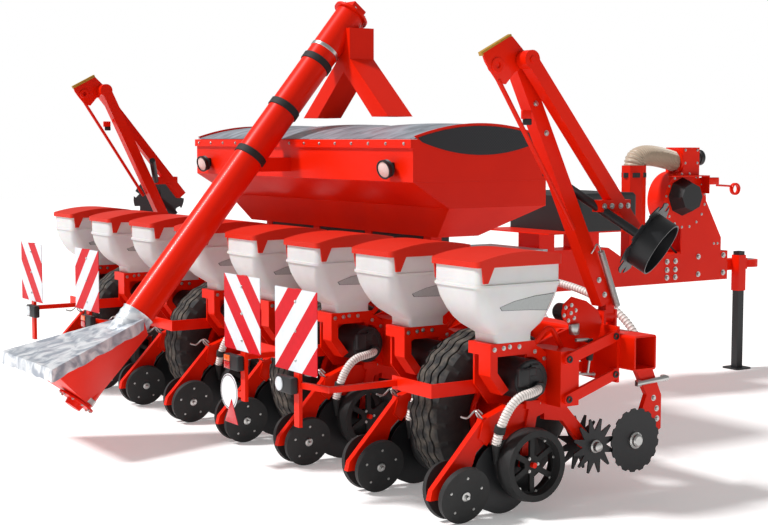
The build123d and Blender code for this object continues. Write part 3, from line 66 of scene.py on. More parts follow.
def add_node(tree, kind, values={}, links={}, feeds=None, **settings):
    """One node with its settings, values and links; feeds names a socket of the shader and the output for it."""
    new = tree.nodes.new(kind)
    for key, setting in settings.items():
        setattr(new, key, setting)
    for socket, value in values.items():
        new.inputs[socket].default_value = value
    for socket, (source, output) in links.items():
        tree.links.new(source.outputs[output], new.inputs[socket])
    if feeds:
        tree.links.new(new.outputs[feeds[1]], tree.nodes["Principled BSDF"].inputs[feeds[0]])
    return new


def new_finish(name, slot, colour, roughness, **values):
    """A material with one shader at its typical values, and the place on the piece that its pattern reads."""
    finish = bpy.data.materials.new(name)
    finish.use_nodes = True
    shader = finish.node_tree.nodes["Principled BSDF"]
    shader.inputs["Base Color"].default_value = linear(colour)
    shader.inputs["Roughness"].default_value = roughness
    for socket, value in values.items():
        shader.inputs[socket.replace("_", " ")].default_value = value
    return finish, finish.node_tree, (add_node(finish.node_tree, "ShaderNodeTexCoord"), "Object")


floor = started(bpy.ops.mesh.primitive_plane_add, size=70, location=(0, 0, -0.0015))
floor.name = "studio_floor"
floor_paper, *_ = new_finish("pale_paper", None, "#F6F5F4", 0.9, Emission_Color=linear("#FFFFFF"),
                             Emission_Strength=FLOOR_GLOW)
floor.data.materials.append(floor_paper)

world = bpy.data.worlds.new("soft_sky")
bpy.context.scene.world = world
world.use_nodes = True
sky = world.node_tree.nodes["Background"]
rays = add_node(world.node_tree, "ShaderNodeLightPath")
seen = add_node(world.node_tree, "ShaderNodeMath", {}, {0: (rays, "Is Camera Ray"), 1: (rays, "Is Transmission Ray")},
                operation="MAXIMUM")
strength = add_node(world.node_tree, "ShaderNodeMapRange", {"To Min": SKY_LIGHT, "To Max": 1.0}, {"Value": (seen, 0)})
world.node_tree.links.new(strength.outputs[0], sky.inputs["Strength"])
sky.inputs["Color"].default_value = linear("#FFFFFF")

bpy.ops.object.light_add(type="SUN", location=(-3, -8, 9))
key = bpy.context.object
key.name = "broad_lamp"
key.data.energy = KEY_LIGHT
key.data.angle = KEY_SPREAD
key.rotation_euler = KEY_WAY.to_track_quat("-Z", "Y").to_euler()

camera_data = bpy.data.cameras.new("photographer")
camera = bpy.data.objects.new("photographer", camera_data)
bpy.context.scene.collection.objects.link(camera)
camera.location = CAMERA_PLACE
level_look = math.cos(CAMERA_PITCH)
look = Vector((-math.sin(CAMERA_AZIMUTH) * level_look, math.cos(CAMERA_AZIMUTH) * level_look, -math.sin(CAMERA_PITCH)))
camera.rotation_euler = look.to_track_quat("-Z", "Y").to_euler()
camera_data.lens = CAMERA_LENS
camera_data.sensor_width = SENSOR_WIDTH
bpy.context.scene.camera = camera
bpy.context.scene.view_settings.view_transform = "Standard"

# Welded steel frame, row units, hopper and booms: plate, bar and box section, welded up and painted.
# Red enamel sprayed thick and baked: glossy, with a faint orange peel and dust that dulls it in broad patches.
ORANGE_PEEL_MM, DUST_PATCH_MM = 5.0, 350.0
RED_NODES = ["toolbar", "drawbar", "hitch", "wheel_arms", "fertiliser_hopper", "hopper_stand", "auger_tube",
             "auger_head", "blower", "row_mounts", "row_links", "row_frames", "coulter_arms", "board_posts",
             "marker_arm_right", "marker_arm_left", "marker_boom_right", "marker_boom_left",
             "rim_1", "rim_2", "rim_3", "rim_4"]


def mottled_finish(name, slot, colour, roughness, patch_mm, detail, tones=None, gloss=None, **values):
    """A finish that changes in patches of a real size: between two tones, between two roughnesses, or both."""
    finish, tree, spot = new_finish(name, slot, colour, roughness, **values)
    patches = add_node(tree, "ShaderNodeTexNoise", {"Scale": 1000 / patch_mm, "Detail": detail}, {"Vector": spot})
    if tones:
        add_node(tree, "ShaderNodeMix", {6: linear(tones[0]), 7: linear(tones[1])}, {0: (patches, "Fac")},
                 ("Base Color", 2), data_type="RGBA")
    if gloss:
        add_node(tree, "ShaderNodeMapRange", {"To Min": gloss[0], "To Max": gloss[1]}, {"Value": (patches, "Fac")},
                 ("Roughness", 0))
    return finish, tree, spot


def dress(node_names, finish):
    """Gives CAD nodes their finish."""
    for node_name in node_names:
        nodes[node_name].data.materials.clear()
        nodes[node_name].data.materials.append(finish)


red_enamel, tree, spot = mottled_finish("baked_red_enamel", "red_paint", "#E91F04", 0.36, DUST_PATCH_MM, 5.0,
                                        ("#F22404", "#DE1A03"), (0.26, 0.46), Coat_Weight=0.05, Coat_Roughness=0.1,
                                        Specular_IOR_Level=0.14)
peel = add_node(tree, "ShaderNodeTexNoise", {"Scale": 1000 / ORANGE_PEEL_MM, "Detail": 2.0}, {"Vector": spot})
add_node(tree, "ShaderNodeBump", {"Strength": 0.04, "Distance": 0.0004}, {"Height": (peel, "Fac")}, ("Normal", 0))
dress(RED_NODES, red_enamel)

# Parking jack, marker discs, opener discs and row cleaners: steel in black enamel.
# It chips and dulls with use, so its gloss is uneven at the size of grit.
GRIT_MM = 6.0
black_enamel, *_ = mottled_finish("worn_black_enamel", "black_paint", "#16171A", 0.42, GRIT_MM, 4.0, gloss=(0.3, 0.6))
dress(["jack_leg", "marker_disc_right", "marker_disc_left", "coulter_discs"], black_enamel)

# Walkway across the drawbar: a galvanised steel step.
# Hot-dip zinc cools in grey crystals, so its tone changes in patches the size of a coin.
CRYSTAL_MM = 22.0
galvanised, tree, spot = new_finish("hot_dip_galvanised_steel", "galvanised_steel", "#A9ADAF", 0.42, Metallic=1.0)
crystal = add_node(tree, "ShaderNodeTexVoronoi", {"Scale": 1000 / CRYSTAL_MM}, {"Vector": spot})
add_node(tree, "ShaderNodeMix", {6: linear("#B4B8BA"), 7: linear("#8E9295")}, {0: (crystal, "Color")},
         ("Base Color", 2), data_type="RGBA")
dress(["walkway"], galvanised)

# Boxes, meters and covers: black plastic, moulded or rolled with a fine grain.
# The grain is drawn a little coarse so that it still shows at this distance.
GRAIN_MM = 4.0
black_plastic, tree, spot = new_finish("grained_black_plastic", "black_plastic", "#1A1B1D", 0.5)
grain = add_node(tree, "ShaderNodeTexVoronoi", {"Scale": 1000 / GRAIN_MM}, {"Vector": spot})
add_node(tree, "ShaderNodeBump", {"Strength": 0.14, "Distance": 0.0006}, {"Height": (grain, "Distance")}, ("Normal", 0))
dress(["fertiliser_meters", "blower_cover", "equipment_box", "seed_meters"], black_plastic)

# Depth wheels and press wheels: black rubber moulded on their rims.
# Matt, with pale dust in broad patches.
RUBBER_DUST_MM = 60.0
rubber, *_ = mottled_finish("dusty_wheel_rubber", "rubber", "#1B1B1C", 0.72, RUBBER_DUST_MM, 6.0,
                            ("#131314", "#272727"))
dress(["closing_wheels"] + [f"gauge_wheels_{number}" for number in range(1, 9)], rubber)

# Lids of the seed hoppers: red plastic, injection moulded and hinged at the front.
# The colour goes right through, so the surface is softer than paint, with a fine pebble from the mould.
PEBBLE_MM = 5.0
red_moulding, tree, spot = new_finish("moulded_red_plastic", "red_plastic", "#D8260F", 0.5, Specular_IOR_Level=0.25)
pebble = add_node(tree, "ShaderNodeTexNoise", {"Scale": 1000 / PEBBLE_MM, "Detail": 2.0}, {"Vector": spot})
add_node(tree, "ShaderNodeBump", {"Strength": 0.08, "Distance": 0.0005}, {"Height": (pebble, "Fac")}, ("Normal", 0))
dress([f"lid_{number}" for number in range(1, 9)], red_moulding)

# Transport tyres: four farm tyres of black rubber on steel rims, with four waved grooves round the tread
# and short cuts across the shoulders. One is turned from its section, its tread is pressed in, and it is copied.
BAR_Y = -0.8775
WHEEL_X = (2250, 750, -750, -2250)
WHEEL_AXLE = (-520, 445)  # y and z
TYRE_STEPS, GROOVE_WAVES = 260, 26
WAVE_MM, SHOULDER_CUT_MM, RIB_DUST_MM = 9.0, 13.0, 45.0
RIB_REACH, TREAD_REACH, TREAD_HALF, SHOULDER = 0.432, 0.415, 0.1, (0.12, 0.13)
TYRE_SECTION = (  # x from the tyre's middle and radius, bead to bead
    (-112, 196), (-118, 222), (-146, 262), (-154.5, 300), (-153, 345), (-142, 385), (-128, 408), (-121, 424),
    (-88, 438), (-86, 424), (-76, 425), (-74, 440), (-34, 444), (-32, 430), (-24, 430), (-22, 444.8),
    (22, 444.8), (24, 430), (32, 430), (34, 444), (74, 440), (76, 425), (86, 424), (88, 438),
    (121, 424), (128, 408), (142, 385), (153, 345), (154.5, 300), (146, 262), (118, 222), (112, 196),
)


def place(x, y, z):
    """A point given in millimetres, with y measured from the toolbar's centre line."""
    return Vector((x / 1000, BAR_Y + y / 1000, z / 1000))


def hold(*pieces):
    """Selects these pieces alone, the first of them active."""
    bpy.ops.object.select_all(action="DESELECT")
    for piece in pieces:
        piece.select_set(True)
    bpy.context.view_layer.objects.active = pieces[0]


def settle(piece, name, finish, body="frame", angle=35):
    """Names a finished piece, puts its place into its mesh, gives it its finish and the body that carries it."""
    hold(piece)
    bpy.ops.object.transform_apply()
    bpy.ops.object.shade_smooth_by_angle(angle=math.radians(angle))
    piece.name = name
    piece.data.materials.clear()
    piece.data.materials.append(finish)
    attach(piece, body)
    return piece


@contextmanager
def editing(piece):
    """Edit mode on one piece, with all of it selected."""
    hold(piece)
    bpy.ops.object.mode_set(mode="EDIT")
    bpy.ops.mesh.select_all(action="SELECT")
    yield
    bpy.ops.object.mode_set(mode="OBJECT")


def outward(piece, merge_mm=None):
    """Turns a piece's faces outwards, after its doubled points are merged where a distance is given."""
    with editing(piece):
        if merge_mm:
            bpy.ops.mesh.remove_doubles(threshold=merge_mm / 1000)
        bpy.ops.mesh.normals_make_consistent(inside=False)


def turned(section, steps):
    """A closed section of (x, radius) in millimetres, turned about the X axis."""
    blank = started(bpy.ops.mesh.primitive_circle_add, vertices=len(section), radius=1)
    for vertex, (x, radius) in zip(blank.data.vertices, section):
        vertex.co = (x / 1000, 0, radius / 1000)
    with editing(blank):
        bpy.ops.mesh.spin(steps=steps, angle=2 * math.pi, center=(0, 0, 0), axis=(1, 0, 0))
    outward(blank, 0.05)
    return blank


def copied(model, where):
    """A copy of a model, with its own mesh, at a place."""
    twin = model.copy()
    twin.data = model.data.copy()
    bpy.context.collection.objects.link(twin)
    twin.matrix_world = where
    return twin


tread_rubber, tree, spot = new_finish("dusty_tread_rubber", "tyre", "#1B1B1C", 0.74)
worn = add_node(tree, "ShaderNodeAttribute", attribute_name="worn")
patches = add_node(tree, "ShaderNodeTexNoise", {"Scale": 1000 / RIB_DUST_MM, "Detail": 4.0}, {"Vector": spot})
patchy = add_node(tree, "ShaderNodeMapRange", {"From Min": 0.4, "From Max": 0.75, "To Max": 0.8},
                  {"Value": (patches, "Fac")})
dusted = add_node(tree, "ShaderNodeMath", {}, {0: (patchy, 0), 1: (worn, "Fac")}, operation="MULTIPLY")
add_node(tree, "ShaderNodeMix", {6: linear("#161617"), 7: linear("#6E655A")}, {0: (dusted, 0)}, ("Base Color", 2),
         data_type="RGBA")

tyre_model = turned(TYRE_SECTION, TYRE_STEPS)
worn_ribs = tyre_model.data.attributes.new("worn", "FLOAT", "POINT")
for index, vertex in enumerate(tyre_model.data.vertices):
    x, y, z = vertex.co
    reach = math.hypot(y, z)
    wave = math.sin(GROOVE_WAVES * math.atan2(y, z))
    worn_ribs.data[index].value = 1.0 if reach > RIB_REACH else 0.12
    if abs(x) < TREAD_HALF and reach > TREAD_REACH:
        vertex.co.x = x + WAVE_MM / 1000 * wave
    elif SHOULDER[0] < abs(x) < SHOULDER[1] and wave > 0.75:
        vertex.co.y = y * (1 - SHOULDER_CUT_MM / 1000 / reach)
        vertex.co.z = z * (1 - SHOULDER_CUT_MM / 1000 / reach)
for number, wheel_x in enumerate(WHEEL_X, 1):
    tyre = copied(tyre_model, Matrix.Translation(place(wheel_x, *WHEEL_AXLE)))
    settle(tyre, f"treaded_tyre_{number}", tread_rubber, f"wheel_{number}", 28)
    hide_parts(f"tyre_{number}")
bpy.data.objects.remove(tyre_model)

# Seed hoses: white corrugated plastic hose from each meter back and down to the opener, held by a black band.
# The hose is blown in a mould, so its rings stand one pitch apart with narrow valleys, where shade is painted dark.
ROW_X = [2625 - 750 * number for number in range(8)]
HOSE_PORT = (70, -570, 630)
SEED_HOSE_ROUTE = (HOSE_PORT, (130, -570, 630), (130, -800, 595), (65, -812, 372))
SEED_HOSE_RADIUS_MM, SEED_RIB_MM, SHADE_PATCH_MM = 24.0, 14.0, 90.0
RIB_WIDTHS = (1.0, 1.0, 0.93, 0.86)  # four rings to a pitch; the last is the valley


def drawn(points, radius_mm, kind="NURBS", sides=2, fineness=6, widths=(1.0,)):
    """A round rod along a line of points, smooth or straight from point to point, made a mesh."""
    line = bpy.data.curves.new("rod", "CURVE")
    line.dimensions = "3D"
    line.bevel_depth = radius_mm / 1000
    line.bevel_resolution = sides
    line.resolution_u = fineness
    line.use_fill_caps = True
    spline = line.splines.new(kind)
    spline.points.add(len(points) - 1)
    for index, (point, stop) in enumerate(zip(spline.points, points)):
        point.co = (*stop, 1)
        point.radius = widths[index % len(widths)]
    if kind == "NURBS":
        spline.order_u = 3
        spline.use_endpoint_u = True
    rod = bpy.data.objects.new("rod", line)
    bpy.context.collection.objects.link(rod)
    hold(rod)
    bpy.ops.object.convert(target="MESH")
    return bpy.context.object


def corrugated(route, radius_mm, pitch_mm):
    """A hose along the smooth line of a route: a ring each pitch, narrower between, with its valleys marked for painted
    shade.
    """
    guide = drawn([place(*stop) for stop in route], 0, fineness=32)
    dots = [dot.co.copy() for dot in guide.data.vertices]
    bpy.data.objects.remove(guide)
    step = pitch_mm / 1000 / len(RIB_WIDTHS)
    walked, goal, rings = 0.0, 0.0, []
    for start, end in zip(dots, dots[1:]):
        length = (end - start).length
        while goal <= walked + length:
            rings.append(start.lerp(end, (goal - walked) / length))
            goal += step
        walked += length
    hose = drawn(rings, radius_mm, "POLY", sides=4, widths=RIB_WIDTHS)
    # Marks the valley rings, where the finish paints shade.
    valley = hose.data.attributes.new("valley", "FLOAT", "POINT")
    around = len(hose.data.vertices) // len(rings)
    for index in range(len(hose.data.vertices)):
        valley.data[index].value = 1.0 if (index // around) % len(RIB_WIDTHS) == len(RIB_WIDTHS) - 1 else 0.0
    return hose


def joined(pieces):
    """Several pieces as one."""
    hold(*pieces)
    if len(pieces) > 1:
        bpy.ops.object.join()
    bpy.ops.object.transform_apply()
    return bpy.context.object


def on_rows(pieces):
    """The pieces of one row joined and copied to all eight rows, each copy with its own mesh, as one piece."""
    model = joined(pieces)
    twins = [copied(model, Matrix.Translation((row_x / 1000, 0, 0))) for row_x in ROW_X]
    bpy.data.objects.remove(model)
    return joined(twins)


def hose_finish(name, slot, crest, valley_shade_tone):
    """Corrugated hose: pale crests, and painted shade that darkens the valleys unevenly."""
    finish, tree, spot = new_finish(name, slot, crest, 0.38)
    valley = add_node(tree, "ShaderNodeAttribute", attribute_name="valley")
    # Painted shade: the valleys are darkened, more strongly in some patches than others.
    uneven_shade = add_node(tree, "ShaderNodeTexNoise", {"Scale": 1000 / SHADE_PATCH_MM, "Detail": 3.0}, {"Vector": spot})
    shade_strength = add_node(tree, "ShaderNodeMapRange", {"To Min": 0.55, "To Max": 1.0}, {"Value": (uneven_shade, "Fac")})
    valley_shade = add_node(tree, "ShaderNodeMath", {}, {0: (valley, "Fac"), 1: (shade_strength, 0)}, operation="MULTIPLY")
    add_node(tree, "ShaderNodeMix", {6: linear(crest), 7: linear(valley_shade_tone)}, {0: (valley_shade, 0)}, ("Base Color", 2),
             data_type="RGBA")
    return finish


white_hose = hose_finish("corrugated_white_hose", "white_hose", "#EFE7E2", "#8C827D")
seed_hoses = on_rows([corrugated(SEED_HOSE_ROUTE, SEED_HOSE_RADIUS_MM, SEED_RIB_MM)])
settle(seed_hoses, "corrugated_seed_hoses", white_hose, angle=60)
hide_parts("seed_hoses")

# Fertiliser hoses: the same white corrugated hose, from the metering boxes out to each coulter.
# Each is pushed on its outlet, runs out at a height of its own, and drops into the coulter's pipe.
OUTLET_X, OUTLET_Y, OUTLET_Z = (175, 420, 640, 860), 62.5, 1175
COULTER_DX, COULTER_Y, COULTER_Z = 21, 235, 560
RUN_LOW, RUN_STEP, RUN_FALL = 935, 50, 30
fertiliser_runs = []
for row_x in ROW_X:
    rank = int(abs(row_x) // 750)
    outlet_x = math.copysign(OUTLET_X[rank], row_x)
    run_z = RUN_LOW + RUN_STEP * rank
    run = ((outlet_x, OUTLET_Y, OUTLET_Z), (outlet_x, OUTLET_Y, run_z),
           (row_x + COULTER_DX, COULTER_Y, run_z - RUN_FALL), (row_x + COULTER_DX, COULTER_Y, COULTER_Z))
    fertiliser_runs.append(corrugated(run, 22.0, 20.0))
fertiliser_hoses = settle(joined(fertiliser_runs), "corrugated_fertiliser_hoses", white_hose, angle=60)
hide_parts("fertiliser_hoses")

# Air hose of the blower: wide beige spiral hose that arches from the duct's top to the fan's outlet.
# Soft plastic wound round a wire; the CAD hose gives the port's face.
DUCT_X, DUCT_Y = 60, 2555
port_y = (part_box("blower_hose")[1][1] - BAR_Y) * 1000
air_hose = corrugated(((DUCT_X, DUCT_Y, 1665), (DUCT_X, DUCT_Y, 1800), (DUCT_X, port_y, 1690)), 80.0, 16.0)
# Its valleys get the same painted shade as the white hose.
beige_hose = hose_finish("spiral_beige_hose", "beige_hose", "#C9B8A4", "#9C8B78")
settle(air_hose, "spiral_air_hose", beige_hose, angle=60)
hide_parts("blower_hose")

# Roof of the fertiliser hopper: a grey PVC tarpaulin stretched over hoops, so it stands in three long humps.
# Coated cloth with a soft sheen, laced down to the hopper's top edge; the paler and darker streaks along its creases
# are painted highlight and shade.
ROOF_HALF, ROOF_REAR, ROOF_FRONT = 1394, -414, 557
ROOF_EDGE, ROOF_CROWN, ROOF_HUMP = 1868, 1946, 16
CREASE_MM = 70.0


def arch(y):
    """Share of the full arch, from 0 at the roof's rear and front edges to 1 in the middle."""
    across = (y - ROOF_REAR) / (ROOF_FRONT - ROOF_REAR)
    return 4 * across * (1 - across)


def roof_height(y):
    """Height of the roof's arch."""
    return ROOF_EDGE + (ROOF_CROWN - ROOF_EDGE) * arch(y)


def finish_modifier(piece, kind, **settings):
    """One modifier, set and applied."""
    hold(piece)
    step = piece.modifiers.new(kind.lower(), kind)
    for key, setting in settings.items():
        setattr(step, key, setting)
    bpy.ops.object.modifier_apply(modifier=step.name)


tarpaulin, tree, spot = new_finish("grey_coated_tarpaulin", "tarpaulin", "#7F8792", 0.42, Sheen_Weight=0.2)
pulled = add_node(tree, "ShaderNodeMapping", {"Scale": (1.0, 0.25, 1.0)}, {"Vector": spot})
creases = add_node(tree, "ShaderNodeTexNoise", {"Scale": 1000 / CREASE_MM, "Detail": 5.0, "Distortion": 0.8},
                   {"Vector": (pulled, 0)})
# Painted highlight and shade: the creases' raised streaks paler, their hollows darker.
crease_light_and_shade = add_node(tree, "ShaderNodeMapRange", {"From Min": 0.35, "From Max": 0.72}, {"Value": (creases, "Fac")})
add_node(tree, "ShaderNodeMix", {6: linear("#5E6670"), 7: linear("#A9B2BD")}, {0: (crease_light_and_shade, 0)}, ("Base Color", 2),
         data_type="RGBA")
add_node(tree, "ShaderNodeBump", {"Strength": 0.35, "Distance": 0.004}, {"Height": (creases, "Fac")}, ("Normal", 0))

roof = started(bpy.ops.mesh.primitive_grid_add, x_subdivisions=72, y_subdivisions=28, size=2)
for vertex in roof.data.vertices:
    y = ROOF_REAR + (vertex.co.y + 1) / 2 * (ROOF_FRONT - ROOF_REAR)
    hump = ROOF_HUMP * arch(y) * abs(math.sin(3 * math.pi * (vertex.co.x + 1) / 2)) ** 0.7
    vertex.co = place(vertex.co.x * ROOF_HALF, y, roof_height(y) + hump)
finish_modifier(roof, "SOLIDIFY", thickness=0.003, offset=-1)
settle(roof, "roof_tarpaulin", tarpaulin, angle=60)
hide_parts("tarpaulins")

# Ends of the roof: a red sheet arch at each side with a black net let into it, lens shaped.
# The net is woven plastic mesh; its threads are drawn coarse so that they show.
NET_MM = 9.0
ARCH_X, ARCH_MM, ARCH_ABOVE, ARCH_BELOW = 1397, 6, 14, 6
NET_X, NET_THICK, NET_INSET, NET_GAP, NET_SAG = 1402, 4, 25, 3, 96
EDGE_STEPS = 32
black_net, tree, spot = new_finish("black_woven_net", "black_plastic", "#15171B", 0.55)
add_node(tree, "ShaderNodeTexChecker",
         {"Scale": 1000 / NET_MM, "Color1": linear("#0E1013"), "Color2": linear("#23272E")},
         {"Vector": spot}, ("Base Color", "Color"))


def cut_sheet(outline, thickness):
    """A flat sheet inside an outline of points, with its thickness in millimetres to both sides."""
    blank = started(bpy.ops.mesh.primitive_circle_add, vertices=len(outline), radius=1, fill_type="NGON")
    for vertex, point in zip(blank.data.vertices, outline):
        vertex.co = point
    finish_modifier(blank, "SOLIDIFY", thickness=thickness / 1000, offset=0)
    outward(blank)
    return blank


def end_panel(x, thickness, inset, top, bottom):
    """A thin sheet in the plane of the hopper's end, between a top and a bottom edge line."""
    rear, span = ROOF_REAR + inset, ROOF_FRONT - ROOF_REAR - 2 * inset
    line = [rear + step / EDGE_STEPS * span for step in range(EDGE_STEPS + 1)]
    outline = [place(x, y, top(y)) for y in line] + [place(x, y, bottom(y)) for y in line[-2:0:-1]]
    return cut_sheet(outline, thickness)


arches = [end_panel(hand * ARCH_X, ARCH_MM, 0, lambda y: roof_height(y) + ARCH_ABOVE, lambda y: ROOF_EDGE - ARCH_BELOW)
          for hand in (1, -1)]
settle(joined(arches), "roof_end_arches", red_enamel)
nets = [end_panel(hand * NET_X, NET_THICK, NET_INSET, lambda y: roof_height(y) - NET_GAP,
                  lambda y: ROOF_EDGE - NET_SAG * arch(y)) for hand in (1, -1)]
settle(joined(nets), "roof_end_nets", black_net)

# Bolts of the hopper: zinc-plated heads on washers, along the lip of its rear wall.
# The plating is bright, slightly mottled and a little yellow.
SPANGLE_MM = 3.0
LIP_Y, LIP_Z, LIP_HALF, LIP_PITCH = -438, 1839, 1330, 190
REARWARDS, RIGHTWARDS = (0, -1, 0), (1, 0, 0)
zinc, *_ = mottled_finish("zinc_plated_steel", "galvanised_steel", "#C4C4C2", 0.32, SPANGLE_MM, 3.0, gloss=(0.2, 0.45),
                          Metallic=1.0)


def bolts(name, seats, radius_mm, body="frame", every_row=False):
    """Hexagon heads on washers: one is modelled and copied to each seat, a point with the way it faces."""
    radius = radius_mm / 1000
    washer = started(bpy.ops.mesh.primitive_cylinder_add, vertices=12, radius=radius * 1.5, depth=radius * 0.3,
                     location=(0, 0, radius * 0.15))
    head = started(bpy.ops.mesh.primitive_cylinder_add, vertices=6, radius=radius, depth=radius * 0.8,
                   location=(0, 0, radius * 0.7))
    with editing(head):
        bpy.ops.mesh.bevel(offset=radius * 0.14, segments=1)
    model = joined([head, washer])
    heads = [copied(model, Matrix.Translation(seat) @ Vector(facing).to_track_quat("Z", "Y").to_matrix().to_4x4())
             for seat, facing in seats]
    bpy.data.objects.remove(model)
    settle(on_rows(heads) if every_row else joined(heads), name, zinc, body, 30)


bolts("hopper_lip_bolts", [(place(x, LIP_Y, LIP_Z), REARWARDS) for x in range(-LIP_HALF, LIP_HALF + 1, LIP_PITCH)], 7)

# Straps of the filling auger: three black rubber bands and one bright steel band.
# Each is drawn tight round the red tube, which leans up to the hopper.
AUGER_X, AUGER_Y, AUGER_Z, AUGER_RISE = -70, -693, 1751, math.radians(50.7)
STRAPS = (794, 400, 6)


def on_auger(distance):
    """A point of the auger's axis, measured upwards from its middle."""
    return place(AUGER_X, AUGER_Y + distance * math.cos(AUGER_RISE), AUGER_Z + distance * math.sin(AUGER_RISE))


auger_line = (on_auger(1) - on_auger(0)).normalized()


def aimed(point, section, facing, steps=40):
    """A turned part with its axis along a direction: section of (x, radius) in millimetres from a point."""
    part = turned(section, steps)
    part.matrix_world = Matrix.Translation(point) @ Vector(facing).to_track_quat("X", "Z").to_matrix().to_4x4()
    return part


def band(distance, width, inner, outer):
    """A ring round the auger's tube, with its edges rounded by 2 mm."""
    half = width / 2
    return aimed(on_auger(distance), ((-half, inner), (-half, outer - 2), (-half + 2, outer), (half - 2, outer),
                                      (half, outer - 2), (half, inner)), auger_line, 72)


settle(joined([band(distance, 48, 99, 107) for distance in STRAPS]), "auger_straps", rubber)
settle(band(898, 26, 99, 104), "auger_band", zinc)

# Top flange of the auger: welded round the tube's end under the drive.
# Eight zinc-plated bolts hold the gearbox on it.


def bolt_ring(middle, facing, radius_mm, count, first=0, across=(0, 1, 0)):
    """Seats of a ring of bolts round a point; the first is turned by some degrees from the direction across."""
    facing, across = Vector(facing), Vector(across)
    turns = [math.radians(first + 360 / count * number) for number in range(count)]
    return [(middle + (across * math.cos(turn) + facing.cross(across) * math.sin(turn)) * radius_mm / 1000, facing)
            for turn in turns]


bolts("auger_flange_bolts", bolt_ring(on_auger(1231), auger_line, 112, 8, 22, RIGHTWARDS), 8)

# Boot of the auger: a red sheet hopper, wide at the rear and narrowed to the tube, with the tube's foot flange below.
# It is a folded and welded shell round the lower end of the tube; the foot is strapped with a zinc band.
MOUTH_REAR, MOUTH_FRONT = (-2213, 545, 430), (-1500, 755, 112)  # y, z and half width
KEEL = ((-1462, 655, 92), (-1836, 240, 60), (-1932, 326, 60))
FOOT_TUBE = ((0, 60), (0, 99), (430, 99), (430, 60))
FOOT_FLANGE = ((0, 1), (0, 52), (34, 58), (36, 120), (46, 120), (48, 118), (48, 1))


def cut_away(piece, unwanted):
    """Deletes the faces that a test picks."""
    hold(piece)
    bpy.ops.object.mode_set(mode="EDIT")
    bpy.ops.mesh.select_all(action="DESELECT")
    bpy.ops.object.mode_set(mode="OBJECT")
    for face in piece.data.polygons:
        face.select = unwanted(face)
    bpy.ops.object.mode_set(mode="EDIT")
    bpy.ops.mesh.delete(type="FACE")
    bpy.ops.object.mode_set(mode="OBJECT")


boot_points = [place(AUGER_X + side * half, y, z)
               for y, z, half in (MOUTH_REAR, MOUTH_FRONT, *KEEL) for side in (-1, 1)]
boot = started(bpy.ops.mesh.primitive_circle_add, vertices=len(boot_points), radius=1)
for vertex, point in zip(boot.data.vertices, boot_points):
    vertex.co = point
with editing(boot):
    bpy.ops.mesh.convex_hull()
cut_away(boot, lambda face: face.normal.z > 0.6)
finish_modifier(boot, "SOLIDIFY", thickness=0.004, offset=-1)
finish_modifier(boot, "BEVEL", width=0.003, segments=2, limit_method="ANGLE")
foot = [aimed(on_auger(-1905), FOOT_TUBE, auger_line, 64), aimed(on_auger(-1952), FOOT_FLANGE, auger_line, 48)]
boot_shell = settle(joined([boot, *foot]), "boot_shell", red_enamel)
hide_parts("auger_boot")
settle(band(-1868, 34, 98, 104), "foot_strap", zinc)
bolts("foot_bolts", bolt_ring(on_auger(-1916), -auger_line, 108, 10, 0, RIGHTWARDS), 8)

# Cover of the boot: silver coated tarpaulin, crumpled, its edges hanging over the boot's rear and sides.
# A cuff of the same cloth closes round the auger's tube.
CRUMPLE_MM = 115.0
SKIRT, SIDE_OVER, REAR_OVER = 72, 0.2, 0.1  # hang in millimetres, and the cloth over the edge as shares of the top
COVER_HOLE = 0.098
CUFF_INNER, CUFF_OUTER, CUFF_RINGS, CUFF_PITCH, CUFF_FOLD = 103, 105, 18, 14, 3
silver, tree, spot = new_finish("silver_tarpaulin", "tarpaulin", "#C6CBD3", 0.34, Metallic=0.25)
crumple = add_node(tree, "ShaderNodeTexNoise", {"Scale": 1000 / CRUMPLE_MM, "Detail": 6.0, "Distortion": 1.2},
                   {"Vector": spot})
# Painted light and shade: the crumples' raised folds paler, their hollows darker.
fold_light_and_shade = add_node(tree, "ShaderNodeMapRange", {"From Min": 0.36, "From Max": 0.6}, {"Value": (crumple, "Fac")})
add_node(tree, "ShaderNodeMix", {6: linear("#9FA7B3"), 7: linear("#ECEFF2")}, {0: (fold_light_and_shade, 0)}, ("Base Color", 2),
         data_type="RGBA")
add_node(tree, "ShaderNodeBump", {"Strength": 0.6, "Distance": 0.012}, {"Height": (crumple, "Fac")}, ("Normal", 0))

boot_cover = started(bpy.ops.mesh.primitive_grid_add, x_subdivisions=60, y_subdivisions=54, size=2)
for vertex in boot_cover.data.vertices:
    across = vertex.co.x * (1 + SIDE_OVER)
    climb = (vertex.co.y + 1) / 2 * (1 + REAR_OVER) - REAR_OVER
    over_side, over_rear = max(abs(across) - 1, 0) / SIDE_OVER, max(-climb, 0) / REAR_OVER
    across, climb = max(-1, min(1, across)), max(0, climb)
    y, z, half = (rear + climb * (front - rear) for rear, front in zip(MOUTH_REAR, MOUTH_FRONT))
    flutter = 4 * over_side * (math.sin(37 * climb) + math.sin(61 * climb + 1))
    kick = over_rear * (1 + 3 * math.sin(11 * across) * math.sin(17 * across))
    hang = SKIRT * max(over_side, over_rear) * (1 + 0.06 * math.sin(23 * climb + 19 * across))
    dents = 3 * math.sin(7 * across + 23 * climb) * math.sin(13 * climb - 5 * across) * (1 - across**4)
    sag = 7 * (1 - across**2) * math.sin(math.pi * climb) + dents
    vertex.co = place(AUGER_X + across * (half + 4 + flutter), y - kick, z + 5 - sag - hang)


def under_auger(face):
    """True for the cloth inside the hole for the auger's tube."""
    reach = face.center - on_auger(0)
    return (reach - auger_line * reach.dot(auger_line)).length < COVER_HOLE


